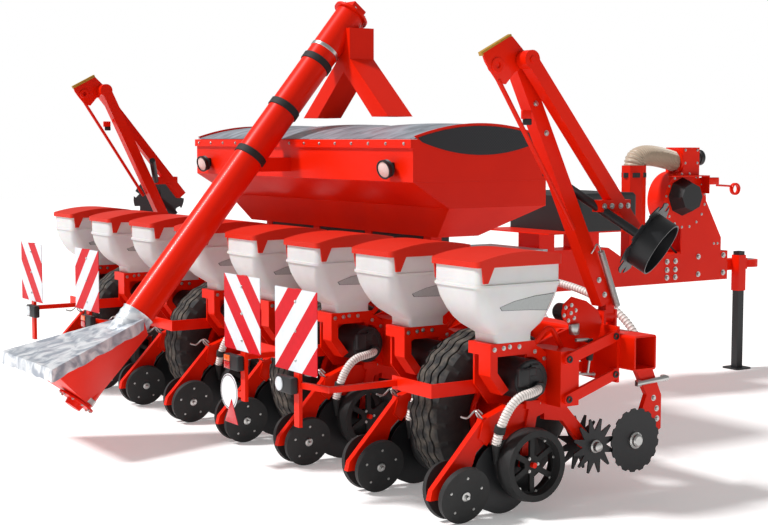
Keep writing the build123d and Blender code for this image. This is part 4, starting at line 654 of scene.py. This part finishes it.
cut_away(boot_cover, under_auger)
finish_modifier(boot_cover, "SOLIDIFY", thickness=0.002, offset=1)
settle(boot_cover, "boot_cover", silver, angle=60)
cuff_folds = [(CUFF_PITCH * ring, CUFF_FOLD * math.sin(1.9 * ring)) for ring in range(CUFF_RINGS)]
cuff_section = [(x, CUFF_OUTER + fold) for x, fold in cuff_folds]
cuff_section += [(x, CUFF_INNER + fold) for x, fold in reversed(cuff_folds)]
cuff = settle(aimed(on_auger(-1490), cuff_section, auger_line, 64), "boot_cuff", silver, angle=60)

# Warning boards: four square aluminium plates at the rear, covered with red and white film in slanting stripes.
# The stripes fall away from the machine's middle on the inner boards and towards it on the outer ones.
BOARDS = ((1930, -1507, -1), (1140, -1397, 1), (-1140, -1397, -1), (-1930, -1507, 1))  # x, y, lean of the stripes
BOARD_MM, BOARD_LOW = 423, 688.5
STRIPE_MM, STRIPE_START, SCUFF_MM = 282.0, 7, 30.0
striped_film, tree, spot = new_finish("striped_reflective_film", "board", "#D20A1E", 0.4, Specular_IOR_Level=0.15)
stripe_place = add_node(tree, "ShaderNodeUVMap", uv_map="stripes")
stripe_parts = add_node(tree, "ShaderNodeSeparateXYZ", {}, {0: (stripe_place, 0)})
red_part = add_node(tree, "ShaderNodeMath", {1: 0.5}, {0: (stripe_parts, "X")}, operation="GREATER_THAN")
scuffs = add_node(tree, "ShaderNodeTexNoise", {"Scale": 1000 / SCUFF_MM, "Detail": 6.0}, {"Vector": spot})
faded, deep = (add_node(tree, "ShaderNodeMix", {6: linear(clean), 7: linear(scuffed)}, {0: (scuffs, "Fac")},
                        data_type="RGBA")
               for clean, scuffed in (("#E4E7EC", "#D3D6DC"), ("#D80A1E", "#BE0618")))
add_node(tree, "ShaderNodeMix", {}, {0: (red_part, 0), 6: (faded, 2), 7: (deep, 2)}, ("Base Color", 2),
         data_type="RGBA")

boards = []
for board_x, board_y, lean in BOARDS:
    board = started(bpy.ops.mesh.primitive_plane_add, size=BOARD_MM / 1000)
    with editing(board):
        bpy.ops.mesh.subdivide(number_cuts=5)
    for vertex in board.data.vertices:
        x, z, _ = vertex.co
        vertex.co = place(board_x, board_y + 2, BOARD_LOW + BOARD_MM / 2) + Vector((x, 0, z))
    low_corner = place(board_x + lean * BOARD_MM / 2, board_y, BOARD_LOW)
    for step in range(-4, 8):
        stripe_edge = low_corner + Vector((0, 0, (step * STRIPE_MM / 2 + STRIPE_START) / 1000))
        with editing(board):
            bpy.ops.mesh.bisect(plane_co=stripe_edge, plane_no=(lean, 0, 1))
    stripes = board.data.uv_layers.new(name="stripes")
    for face in board.data.polygons:
        reach = (face.center - low_corner) * 1000
        tone = ((reach.z + lean * reach.x - STRIPE_START) / STRIPE_MM) % 1
        for loop in face.loop_indices:
            stripes.data[loop].uv = (0.75 if tone > 0.5 else 0.25, 0.5)
    finish_modifier(board, "SOLIDIFY", thickness=0.004, offset=0)
    boards.append(board)
boards = settle(joined(boards), "striped_warning_boards", striped_film)
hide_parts("warning_boards")
board_seats = [(place(x, y, BOARD_LOW + rise), REARWARDS) for x, y, lean in BOARDS for rise in (60, 210, 360)]
bolts("board_bolts", board_seats, 6)

# Round sign and reflecting triangle under the inner right board, screwed to its post.
# The sign is a painted plate, white with a thin dark ring; the triangle is red plastic with moulded prisms.
SIGN_X, SIGN_Y, SIGN_Z, SIGN_RADIUS = 975, -1397, 437, 102
SIGN_RING, SIGN_RING_HALF = 0.094, 0.003
PRISM_MM, TRIANGLE_REACH, TRIANGLE_THICK = 7.0, 0.092, 0.004
sign_middle = place(SIGN_X, SIGN_Y, SIGN_Z)
sign_white, tree, spot = new_finish("white_sign_enamel", "board", "#E6E8EB", 0.3)
centred = add_node(tree, "ShaderNodeMapping", {"Location": tuple(-sign_middle)}, {"Vector": spot})
sign_reach = add_node(tree, "ShaderNodeVectorMath", {}, {0: (centred, 0)}, operation="LENGTH")
ring_mid = add_node(tree, "ShaderNodeMath", {1: SIGN_RING}, {0: (sign_reach, "Value")}, operation="SUBTRACT")
ring_gap = add_node(tree, "ShaderNodeMath", {}, {0: (ring_mid, 0)}, operation="ABSOLUTE")
on_ring = add_node(tree, "ShaderNodeMath", {1: SIGN_RING_HALF}, {0: (ring_gap, 0)}, operation="LESS_THAN")
add_node(tree, "ShaderNodeMix", {6: linear("#E6E8EB"), 7: linear("#2A2A2C")}, {0: (on_ring, 0)}, ("Base Color", 2),
         data_type="RGBA")
SIGN_SECTION = ((0, 1), (0, SIGN_RADIUS - 1.5), (1.5, SIGN_RADIUS), (4, SIGN_RADIUS), (4, 1))
settle(aimed(sign_middle, SIGN_SECTION, (0, 1, 0), 72), "blank_round_sign", sign_white)
reflex_red, tree, spot = new_finish("moulded_red_reflector", "lamp", "#C3101F", 0.2, Coat_Weight=0.5)
prisms = add_node(tree, "ShaderNodeTexVoronoi", {"Scale": 1000 / PRISM_MM}, {"Vector": spot})
add_node(tree, "ShaderNodeBump", {"Strength": 0.3, "Distance": 0.001}, {"Height": (prisms, "Distance")}, ("Normal", 0))
triangle = started(bpy.ops.mesh.primitive_cylinder_add, vertices=3, radius=TRIANGLE_REACH, depth=TRIANGLE_THICK)
with editing(triangle):
    bpy.ops.mesh.bevel(offset=0.0012, segments=2)
triangle_middle = place(SIGN_X + 35, SIGN_Y - 2, SIGN_Z - 130)
triangle.matrix_world = Matrix.Translation(triangle_middle) @ Matrix.Rotation(math.radians(90), 4, "X")
settle(triangle, "red_triangle", reflex_red)

# Rear lamps on the posts and work lamps under the hopper: black plastic housings with fluted lenses.
# Red and orange lenses on the inner posts, clear ones on the outer posts.
LAMPS = ((1865, -1503), (1075, -1393), (-1075, -1393), (-1865, -1503))
LAMP_Z, FLUTE_MM, GLASS_FLUTE_MM = 620, 8.0, 10.0
WORK_LAMPS = [(x, -440, 1700) for x in (-1190, 1190)]
WORK_WAY = (0.15, -1, -0.25)
WORK_SHELL = ((0, 1), (0, 30), (14, 46), (18, 54), (24, 48), (28, 55), (34, 49), (38, 56), (54, 58), (58, 56), (58, 50),
              (50, 48), (46, 1))
WORK_GLASS = ((0, 1), (0, 47), (4, 47), (8, 36), (10, 1))
CLEAR_LENS = ((0, 1), (0, 36), (6, 36), (11, 26), (13, 1))


def block(centre, size, bevel):
    """A box with rounded edges: centre and size in millimetres."""
    body = started(bpy.ops.mesh.primitive_cube_add, size=1, location=place(*centre))
    body.scale = [length / 1000 for length in size]
    bpy.ops.object.transform_apply()
    with editing(body):
        bpy.ops.mesh.bevel(offset=bevel / 1000, segments=3)
    return body


def cup(centre, section, facing=RIGHTWARDS):
    """A turned part at a place in millimetres."""
    return aimed(place(*centre), section, facing)


def lens_finish(name, colour, flute_mm=FLUTE_MM):
    """Lamp lens: glossy coloured plastic with fine upright flutes."""
    finish, tree, spot = new_finish(name, "lamp", colour, 0.12, Coat_Weight=0.6, Coat_Roughness=0.05)
    flutes = add_node(tree, "ShaderNodeTexWave", {"Scale": 1000 / flute_mm / 6.28}, {"Vector": spot},
                      bands_direction="X")
    add_node(tree, "ShaderNodeBump", {"Strength": 0.4, "Distance": 0.002}, {"Height": (flutes, "Fac")}, ("Normal", 0))
    return finish


housings = [block((x, y - 22, LAMP_Z), (168, 42, 86), 8) for x, y in LAMPS]
for x, y, z in WORK_LAMPS:
    housings += [cup((x, y, z), WORK_SHELL, WORK_WAY), block((x, y + 10, z), (40, 36, 60), 4)]
lamp_shells = settle(joined(housings), "lamp_housings", black_plastic)
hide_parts("lamps")
red_lenses = [block((x - 40, y - 44, LAMP_Z - 18), (66, 10, 40), 4) for x, y in LAMPS[1:3]]
settle(joined(red_lenses), "red_lenses", lens_finish("red_lamp_lens", "#B80E12"))
orange_lenses = [block((x - 40, y - 44, LAMP_Z + 22), (66, 10, 34), 4) for x, y in LAMPS[1:3]]
settle(joined(orange_lenses), "orange_lenses", lens_finish("orange_lamp_lens", "#F0600E"))
clear_lenses = [cup((x - 36, y - 42, LAMP_Z), CLEAR_LENS, REARWARDS) for x, y in (LAMPS[0], LAMPS[3])]
settle(joined(clear_lenses), "clear_lenses", lens_finish("clear_lamp_lens", "#D9DEE2"))
glasses = [cup((x + 7, y - 47, z - 12), WORK_GLASS, WORK_WAY) for x, y, z in WORK_LAMPS]
settle(joined(glasses), "work_lamp_glasses", lens_finish("work_lamp_glass", "#E9C9C2", GLASS_FLUTE_MM))

# Bolts of the row units: zinc-plated heads round the arched side plate, on its top bar and on the front bracket.
# They hold the folded plates of the unit together from its right side.
ARCH_Y, ARCH_Z, ARCH_BOLTS, PLATE_X = -590, 665, 148, 25
TOP_BOLTS = ((-795, 832), (-738, 836), (-700, 840), (-640, 836), (-447, 700), (-440, 560), (-425, 535))
row_seats = [(place(PLATE_X, y, z), RIGHTWARDS) for y, z in TOP_BOLTS]
for angle in (70, 42, 12, -22, -58):
    seat_y = ARCH_Y + ARCH_BOLTS * math.cos(math.radians(angle))
    seat_z = ARCH_Z + ARCH_BOLTS * math.sin(math.radians(angle))
    row_seats.append((place(PLATE_X, seat_y, seat_z), RIGHTWARDS))
bolts("row_unit_bolts", row_seats, 8, every_row=True)

# Pins of the parallel links: black plastic bushes, hollow in the middle.
# One is pressed into each end of each link.
LINK_FACE = 159
LINK_PINS = ((-427, 771), (-427, 569), (-118, 864), (-118, 668))
BUSH = ((0, 8), (0, 18), (6, 18), (8, 16), (8, 9), (6, 8))
settle(on_rows([cup((LINK_FACE, y, z), BUSH) for y, z in LINK_PINS]), "link_bushes", black_plastic)

# Spring dampers and tie rods between the parallel links: a black cylinder with a bright rod, and two zinc rods.
# The damper hangs from the upper link and the rods lie along the links.
LINK_MID, DAMPER_WAY = 118, (0, -0.16, -0.98)
DAMPER = ((0, 1), (0, 15), (4, 17), (62, 17), (66, 14), (66, 1))
DAMPER_ROD = ((0, 1), (0, 7), (66, 7), (66, 1))
LOWER_ROD = ((0, 1), (0, 11), (8, 11), (8, 7), (150, 7), (150, 11), (160, 11), (160, 1))
UPPER_ROD = ((0, 1), (0, 9), (84, 9), (84, 6), (110, 6), (110, 1))
dampers = [cup((LINK_MID, -250, 812), DAMPER, DAMPER_WAY), block((LINK_MID, -262, 848), (26, 34, 20), 4)]
settle(on_rows(dampers), "link_dampers", black_plastic)
rods = [cup((LINK_MID, -260, 748), DAMPER_ROD, DAMPER_WAY), cup((LINK_MID, -386, 690), LOWER_ROD, (0, 0.995, -0.1)),
        cup((LINK_MID, -352, 858), UPPER_ROD, (0, 1, -0.05))]
settle(on_rows(rods), "link_rods", zinc)

# Seed meters: black moulded covers on the drum that shows in the arch, with the drive's box and the hose's collar.
# They are clipped on the drum's right face.
METER_FACE = 69
METER_COVER = ((0, 1), (0, 101), (5, 101), (9, 96), (9, 76), (5, 72), (5, 40), (14, 36), (14, 1))
HOSE_COLLAR = ((0, 1), (0, 32), (6, 34), (34, 34), (40, 29), (40, 1))
covers = [cup((METER_FACE, -600, 670), METER_COVER), block((84, -662, 690), (34, 66, 92), 9),
          block((82, -612, 716), (26, 60, 44), 7), block((78, -585, 740), (20, 50, 24), 5),
          cup((METER_FACE, *HOSE_PORT[1:]), HOSE_COLLAR)]
settle(on_rows(covers), "meter_covers", black_plastic)

# Hose ends at the opener: a black band round the hose and a tapered rubber boot below it.
# The boot is stretched over the hose's end and points into the furrow.
HOSE_BAND = ((0, 22), (0, 27.5), (2, 28.5), (36, 28.5), (38, 27.5), (38, 22))
HOSE_BOOT = ((0, 1), (0, 23), (30, 21), (120, 11), (120, 1))
boots = [cup((84, -809, 430), HOSE_BAND, (0.28, 0.05, 0.96)), cup((66, -812, 378), HOSE_BOOT, (-0.3, 0.2, -1))]
settle(on_rows(boots), "hose_boots", rubber)

# Depth setting crank behind each spine: a zinc-plated rod, bent to a handle, with a spring clip.
# It swings in the spine and is held by the clip.
CRANK = ((10, -835, 470), (10, -880, 520), (10, -900, 545), (14, -935, 515), (18, -960, 505), (20, -995, 520))
CLIP = ((6, -845, 490), (18, -890, 500), (18, -905, 535), (4, -880, 545), (2, -850, 515))


def wire(route, radius_mm):
    """A round rod along a smooth line through its control points, in millimetres."""
    return drawn([place(*stop) for stop in route], radius_mm)


settle(on_rows([wire(CRANK, 5), wire(CLIP, 4)]), "depth_cranks", zinc)

# Fertiliser coulters: a bright cross bar below the toolbar with its two clamps, and bolts on the arm.
# All are zinc-plated steel, on the arm's right face.
ARM_FACE = 70
COULTER_BAR = ((0, 1), (0, 11), (3, 13), (222, 13), (225, 11), (225, 1))
arm_seats = [(place(ARM_FACE, y, z), RIGHTWARDS) for y, z in ((235, 498), (258, 440), (262, 385))]
bolts("coulter_bolts", arm_seats, 11, every_row=True)
bars = [cup((ARM_FACE + 18, 96, 588), COULTER_BAR, (0, 1, 0.06)), block((ARM_FACE + 6, 120, 588), (24, 30, 34), 4),
        block((ARM_FACE + 6, 300, 600), (24, 26, 34), 4)]
settle(on_rows(bars), "coulter_bars", zinc)

# Meter drives: a red bracket plate behind each seed hopper with a round flange, a black motor and a zinc gear case.
# The plate is cut from sheet and stands on the row's frame; the motor and its cable sit behind the flange.
DRIVE_AXIS = (-330, 987)  # y and z
DRIVE_PLATE = ((-130, 836), (-108, 925), (-131, 985), (-215, 1040), (-311, 1068), (-366, 1030), (-372, 975),
               (-330, 930), (-262, 836))
DRIVE_FLANGE = ((0, 1), (0, 50), (6, 50), (8, 48), (8, 30), (16, 28), (16, 1))
MOTOR = ((0, 1), (0, 44), (70, 44), (76, 40), (76, 1))
MOTOR_CABLE = ((0, -300, 1010), (0, -250, 1060), (20, -190, 1000), (20, -170, 930), (30, -200, 880))
GEAR_CASE = ((0, 1), (0, 26), (3, 28), (52, 28), (55, 26), (55, 1))


def plate(x, thickness, outline):
    """A flat plate across the machine: outline of (y, z), its middle at x, with softened edges."""
    cut = cut_sheet([place(x, y, z) for y, z in outline], thickness)
    finish_modifier(cut, "BEVEL", width=0.0015, segments=2)
    return cut


settle(on_rows([plate(35, 10, DRIVE_PLATE), cup((38, *DRIVE_AXIS), DRIVE_FLANGE)]), "drive_brackets", red_enamel)
drive_seats = [(place(54, *DRIVE_AXIS), RIGHTWARDS)] + bolt_ring(place(46, *DRIVE_AXIS), RIGHTWARDS, 40, 6, 15)
bolts("drive_bolts", drive_seats, 7, every_row=True)
settle(on_rows([cup((30, *DRIVE_AXIS), MOTOR, (-1, 0, 0)), wire(MOTOR_CABLE, 7)]), "drive_motors", black_plastic)
settle(on_rows([cup((42, -300, 930), GEAR_CASE, (0, 0.1, -1))]), "drive_cases", zinc)

# Seed hoppers: bowls of natural polyethylene, rotation moulded, milky and satin with faint clouds in the wall.
# Each is a skin through rounded outlines, 5 mm thick, with a ledge below the lid and the lugs of its hinge.
# It stands with its square neck in the row's frame.
WALL_CLOUD_MM = 120.0
SEED_NECK, SEED_MOUTH = (-156, 25, -785, -560), (-260, 120, -967, -447)  # left, right, rear, front
SEED_LEVELS = (  # height, share of the way from neck to mouth, corner radius, width of the ledge
    (861, 0.0, 20, 0), (904, 0.03, 26, 0), (926, 0.22, 40, 0), (952, 0.46, 62, 0), (986, 0.66, 78, 0),
    (1032, 0.83, 82, 0), (1090, 0.95, 66, 0), (1150, 1.0, 45, 0), (1150, 1.0, 53, 8), (1164, 1.0, 53, 8),
    (1164, 1.0, 45, 0), (1250, 1.0, 45, 0),
)
CORNER_STEPS = 6
HINGE_Y, HINGE_Z = -421, 1262
HINGE_PIN = ((0, 1), (0, 6), (136, 6), (136, 1))
milky, *_ = mottled_finish("milky_polyethylene", "white_plastic", "#E2DDDC", 0.42, WALL_CLOUD_MM, 2.0,
                           ("#E8E3E2", "#D9D3D3"), Subsurface_Weight=0.25, Subsurface_Scale=0.02)

around, levels = 4 * CORNER_STEPS, len(SEED_LEVELS) - 1
bowl = started(bpy.ops.mesh.primitive_grid_add, x_subdivisions=around, y_subdivisions=levels, size=2)
for vertex in bowl.data.vertices:
    z, share, corner, ledge = SEED_LEVELS[round((vertex.co.y + 1) / 2 * levels)]
    left, right, rear, front = (near + (far - near) * share for near, far in zip(SEED_NECK, SEED_MOUTH))
    quarter, step = divmod(round((vertex.co.x + 1) / 2 * around) % around, CORNER_STEPS)
    angle = math.radians(90 * quarter + 90 / (CORNER_STEPS - 1) * step)
    side, end = ((1, 1), (-1, 1), (-1, -1), (1, -1))[quarter]
    x = (left + right) / 2 + side * ((right - left) / 2 + ledge - corner) + corner * math.cos(angle)
    y = (rear + front) / 2 + end * ((front - rear) / 2 + ledge - corner) + corner * math.sin(angle)
    vertex.co = place(x, y, z)
outward(bowl, 0.1)
finish_modifier(bowl, "SOLIDIFY", thickness=0.005, offset=-1)
moulding = [bowl, block((-65.5, -672.5, 863.5), (176, 220, 5), 1), cup((-138, HINGE_Y, HINGE_Z), HINGE_PIN)]
for lug_x in (-136.3, -3.7):
    moulding += [block((lug_x, HINGE_Y - 3, HINGE_Z - 1), (12, 32, 24), 2),
                 block((lug_x, HINGE_Y - 19, HINGE_Z - 24), (12, 18, 40), 2)]
seed_hoppers = settle(on_rows(moulding), "seed_hopper_bowls", milky, angle=40)
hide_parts("seed_hoppers")

# Marks on the seed hoppers: a plain grey film, lozenge shaped, edged in dark grey.
# It is stuck on the sloping right face and follows its bend.
SPECKLE_MM, FILM_MM = 12.0, 1.0
LOZENGE = ((-826, 1052), (-740, 1078), (-620, 1096), (-498, 1104), (-532, 1022), (-640, 1030), (-812, 1036))
LOZENGE_Y, LOZENGE_Z = -660, 1063
film_grey, *_ = mottled_finish("plain_grey_film", "white_plastic", "#AEB2B1", 0.4, SPECKLE_MM, 3.0,
                               ("#B4B8B7", "#A3A7A7"))


def seed_wall(z):
    """Share of the way from the neck's outline to the mouth's at a height."""
    for (low, start, *_), (high, end, *_) in zip(SEED_LEVELS, SEED_LEVELS[1:]):
        if low <= z < high:
            return start + (end - start) * (z - low) / (high - low)
    return 1.0


def lozenge(grow, proud):
    """The mark's film, grown about its middle and standing proud of the hopper's right face."""
    outline = []
    for y, z in LOZENGE:
        y, z = LOZENGE_Y + (y - LOZENGE_Y) * grow, LOZENGE_Z + (z - LOZENGE_Z) * grow**3
        outline.append(place(SEED_NECK[1] + (SEED_MOUTH[1] - SEED_NECK[1]) * seed_wall(z) + proud, y, z))
    return cut_sheet(outline, FILM_MM)


settle(on_rows([lozenge(1.02, 0.8)]), "hopper_mark_edges", black_plastic)
settle(on_rows([lozenge(1.0, 1.5)]), "hopper_marks", film_grey)

# Depth wheels: small zinc bolts that hold the two halves of each rim, and three round the axle.
# They turn with the wheel.
DEPTH_FACE, DEPTH_AXLE = 107, (-617, 252)
for number, row_x in enumerate(ROW_X, 1):
    hub_middle = place(row_x + DEPTH_FACE, *DEPTH_AXLE)
    rim_seats = bolt_ring(hub_middle, RIGHTWARDS, 138, 8, 10) + bolt_ring(hub_middle, RIGHTWARDS, 36, 3)
    bolts(f"depth_wheel_bolts_{number}", rim_seats, 5.5, f"gauge_{number}")

# Press wheels: five small bolts and a turned hub on the outer face of each tilted wheel.
# Both are zinc-plated steel.
PRESS_TILT, PRESS_RADIUS, PRESS_HALF = math.radians(12), 143, 15
PRESS_X, PRESS_Y = 66, -1007
PRESS_HUB = ((-2, 1), (-2, 24), (4, 24), (6, 20), (6, 11), (22, 10), (24, 8), (24, 1))
press_z = PRESS_RADIUS * math.cos(PRESS_TILT) + PRESS_HALF * math.sin(PRESS_TILT)
press_seats, press_hubs = [], []
for hand in (1, -1):
    out = Vector((hand * math.cos(PRESS_TILT), 0, -math.sin(PRESS_TILT)))
    middle = place(hand * PRESS_X, PRESS_Y, press_z) + out * PRESS_HALF / 1000
    press_seats += bolt_ring(middle, out, 95, 5, 20)
    press_hubs.append(aimed(middle, PRESS_HUB, out, 28))
bolts("press_wheel_bolts", press_seats, 4.5, every_row=True)
settle(on_rows(press_hubs), "press_wheel_hubs", zinc)

# Hubs of the fertiliser discs and row cleaners: turned steel caps, zinc plated.
# A ring of bolts holds the disc on its hub.
DISC_AXLE = (103, 287)
DISC_HUB = ((-1, 1), (-1, 44), (8, 44), (12, 34), (24, 32), (30, 24), (30, 1))
STAR_HUB = ((-1, 1), (-1, 34), (10, 34), (14, 26), (34, 24), (38, 18), (38, 1))
settle(on_rows([cup((77, *DISC_AXLE), DISC_HUB), cup((64, -167, 285), STAR_HUB)]), "disc_hubs", zinc)
bolts("disc_hub_bolts", bolt_ring(place(85, *DISC_AXLE), RIGHTWARDS, 38, 5), 4, every_row=True)

# Heads of the row markers: a red plate on each arm's top with an ochre rubbing strip, a welded bush and a stay bar.
# A tension spring pulls the arm up, a rubber buffer stops the boom, and a black sleeve carries the disc's rod.
SCRAPE_MM, COIL_STEPS = 14.0, 12
HEAD_X, STRIP_X, STAY_X, SPRING_X, BOOM_FACE, ARM_SIDE = 2653, 2645, 2648, 2656, 2736, 2640
HEAD_PLATE = ((-604, 2270), (-704, 2362), (-722, 2360), (-884, 2274), (-868, 2236), (-838, 2196), (-790, 2140),
              (-742, 2130), (-690, 2190), (-650, 2206))
STRIP = ((-886, 2262), (-704, 2356), (-712, 2374), (-894, 2280))
HEAD_BUSH = ((-26, 16), (-26, 34), (-23, 36), (16, 36), (18, 34), (18, 16))
STAY_BAR = ((0, 1), (0, 12), (890, 12), (890, 1))
ROD_SLEEVE = ((0, 1), (0, 22.5), (3, 23.5), (604, 23.5), (606, 1))
HOOK = ((SPRING_X, -112, 1286), (SPRING_X, -124, 1322), (SPRING_X, -146, 1330), (SPRING_X, -160, 1300),
        (SPRING_X - 14, -166, 1280))
CLAMP_BOLTS = [(y, 1526) for y in (-165, -115, -55, -5)]
ARM_BOLTS = ((-70, 1062), (-110, 1140), (-470, 1895), (-540, 2040))
ROD_WAY, ROD_REACH = Vector((0.74, 0.42, -0.525)).normalized(), 621
DISC_AT = Vector((2900, -50, 1370))
ochre, *_ = mottled_finish("ochre_rubbing_strip", "red_plastic", "#B98A1E", 0.5, SCRAPE_MM, 5.0, ("#C4962A", "#94701A"))


def spring(start, end, radius_mm, wire_mm, turns):
    """A close-wound tension spring between two points in millimetres."""
    start, end = place(*start), place(*end)
    way = (end - start).normalized()
    across = way.cross(Vector((1, 0, 0))).normalized()
    coil = []
    for step in range(turns * COIL_STEPS + 1):
        angle = 2 * math.pi * step / COIL_STEPS
        arm = (across * math.cos(angle) + way.cross(across) * math.sin(angle)) * radius_mm / 1000
        coil.append(start.lerp(end, step / (turns * COIL_STEPS)) + arm)
    return drawn(coil, wire_mm, "POLY", sides=1)


for hand, name in ((1, "right"), (-1, "left")):
    out, arm_body, boom_body = (hand, 0, 0), f"marker_{name}", f"boom_{name}"
    head = [plate(hand * HEAD_X, 14, HEAD_PLATE), cup((hand * 2650, -798, 2221), HEAD_BUSH, out),
            cup((hand * HEAD_X, -786, 2150), STAY_BAR, (0, 0.55, -0.835)),
            block((hand * STAY_X, -606, 1985), (16, 60, 44), 5)]
    settle(joined(head), f"marker_head_{name}", red_enamel, arm_body)
    settle(plate(hand * STRIP_X, 28, STRIP), f"marker_strip_{name}", ochre, arm_body)
    settle(block((hand * STAY_X, -600, 1950), (22, 46, 32), 6), f"marker_buffer_{name}", rubber, arm_body)
    coil = spring((hand * SPRING_X, -112, 1290), (hand * SPRING_X, 4, 1000), 15, 3, 46)
    hook = wire([(hand * x, y, z) for x, y, z in HOOK], 4)
    settle(joined([coil, hook]), f"marker_spring_{name}", zinc, arm_body, 60)
    way = Vector((hand * ROD_WAY.x, ROD_WAY.y, ROD_WAY.z))
    rod_at = Vector((hand * DISC_AT.x, DISC_AT.y, DISC_AT.z)) - way * ROD_REACH
    settle(cup(rod_at, ROD_SLEEVE, way), f"marker_rod_{name}", black_enamel, boom_body)
    bolts(f"marker_clamp_bolts_{name}", [(place(hand * BOOM_FACE, *seat), out) for seat in CLAMP_BOLTS], 10, boom_body)
    bolts(f"marker_arm_bolts_{name}", [(place(hand * ARM_SIDE, *seat), out) for seat in ARM_BOLTS], 10, arm_body)

# Front of the machine: bolts of the drawbar's coupling and of the blower's scroll.
# Zinc-plated heads on the right faces, in rows on the coupling and in a ring on the scroll.
COUPLING_X, SCROLL_X, SCROLL_AXIS = 120, 150, (3020, 1390)
COUPLING_BOLTS = [(y, z) for y in (2860, 2950) for z in (915, 850, 790)]
COUPLING_BOLTS += [(y, z) for y in (3200, 3480) for z in (800, 940)]
FLANGE_BOLTS = ((3010, 1780), (3140, 1780), (3010, 1680), (3140, 1680), (3380, 1040), (3340, 1040))
bolts("coupling_bolts", [(place(COUPLING_X, *seat), RIGHTWARDS) for seat in COUPLING_BOLTS], 15)
scroll_seats = bolt_ring(place(SCROLL_X, *SCROLL_AXIS), RIGHTWARDS, 211, 16, -100)
bolts("blower_bolts", scroll_seats + [(place(SCROLL_X, *seat), RIGHTWARDS) for seat in FLANGE_BOLTS], 7)

# Blower fittings: a red visor over the cover, the clamp ring of the air hose, and the hoop that carries the oil lines.
# The fan's upper outlet has a black plastic cap, and a rubber strap holds the six-sided duct.
HOSE_CLAMP = ((-8, 78), (-8, 98), (-2, 100), (10, 100), (14, 96), (14, 78))
LINE_HOOP = ((0, 34), (0, 47), (4, 49), (28, 49), (32, 47), (32, 34))
HOOP_STALK = ((120, 3390, 1500), (120, 3480, 1496), (120, 3556, 1490))
OUTLET_CAP = ((0, 1), (0, 62), (20, 62), (24, 56), (60, 56), (64, 62), (100, 62), (104, 58), (104, 44), (70, 40),
              (70, 1))
DUCT_STRAP = ((-18, 94), (-18, 99), (18, 99), (18, 94))
fittings = [block((192, 3010, 1580), (84, 372, 8), 2), block((192, 3192, 1512), (84, 8, 140), 2),
            cup((DUCT_X, 2976, 1694), HOSE_CLAMP, (0, 1, 0)), block((120, 3300, 1535), (50, 190, 56), 6),
            wire(HOOP_STALK, 8), cup((104, 3600, 1467), LINE_HOOP)]
settle(joined(fittings), "blower_fittings", red_enamel)
settle(cup((DUCT_X, 3160, 1720), OUTLET_CAP, (0, 1, 0)), "blower_outlet_cap", black_plastic)
strap = turned(DUCT_STRAP, 6)
upright = Matrix.Rotation(math.radians(-90), 4, "Y") @ Matrix.Rotation(math.radians(90), 4, "X")
strap.matrix_world = Matrix.Translation(place(DUCT_X, DUCT_Y, 1592)) @ upright
settle(strap, "duct_strap", rubber)

# Oil and power lines of the blower: black rubber lines.
# They are clipped from the scroll down to the drawbar.
UPPER_LINE = ((70, 2798, 1330), (80, 2770, 1250), (90, 2790, 1160), (70, 2930, 1130))
LOWER_LINE = ((90, 2900, 1180), (100, 2880, 1090), (100, 2920, 1020), (90, 2990, 976))
settle(joined([wire(UPPER_LINE, 7), wire(LOWER_LINE, 8)]), "blower_lines", rubber)

# Towing eye: a zinc-plated ring liner.
# It is pressed into the eye at the drawbar's front end.
EYE_LINER = ((0, 26), (0, 42), (4, 44), (64, 44), (68, 42), (68, 26))
settle(cup((0, 3905, 816), EYE_LINER, (0, 0, 1)), "towing_eye_liner", zinc)
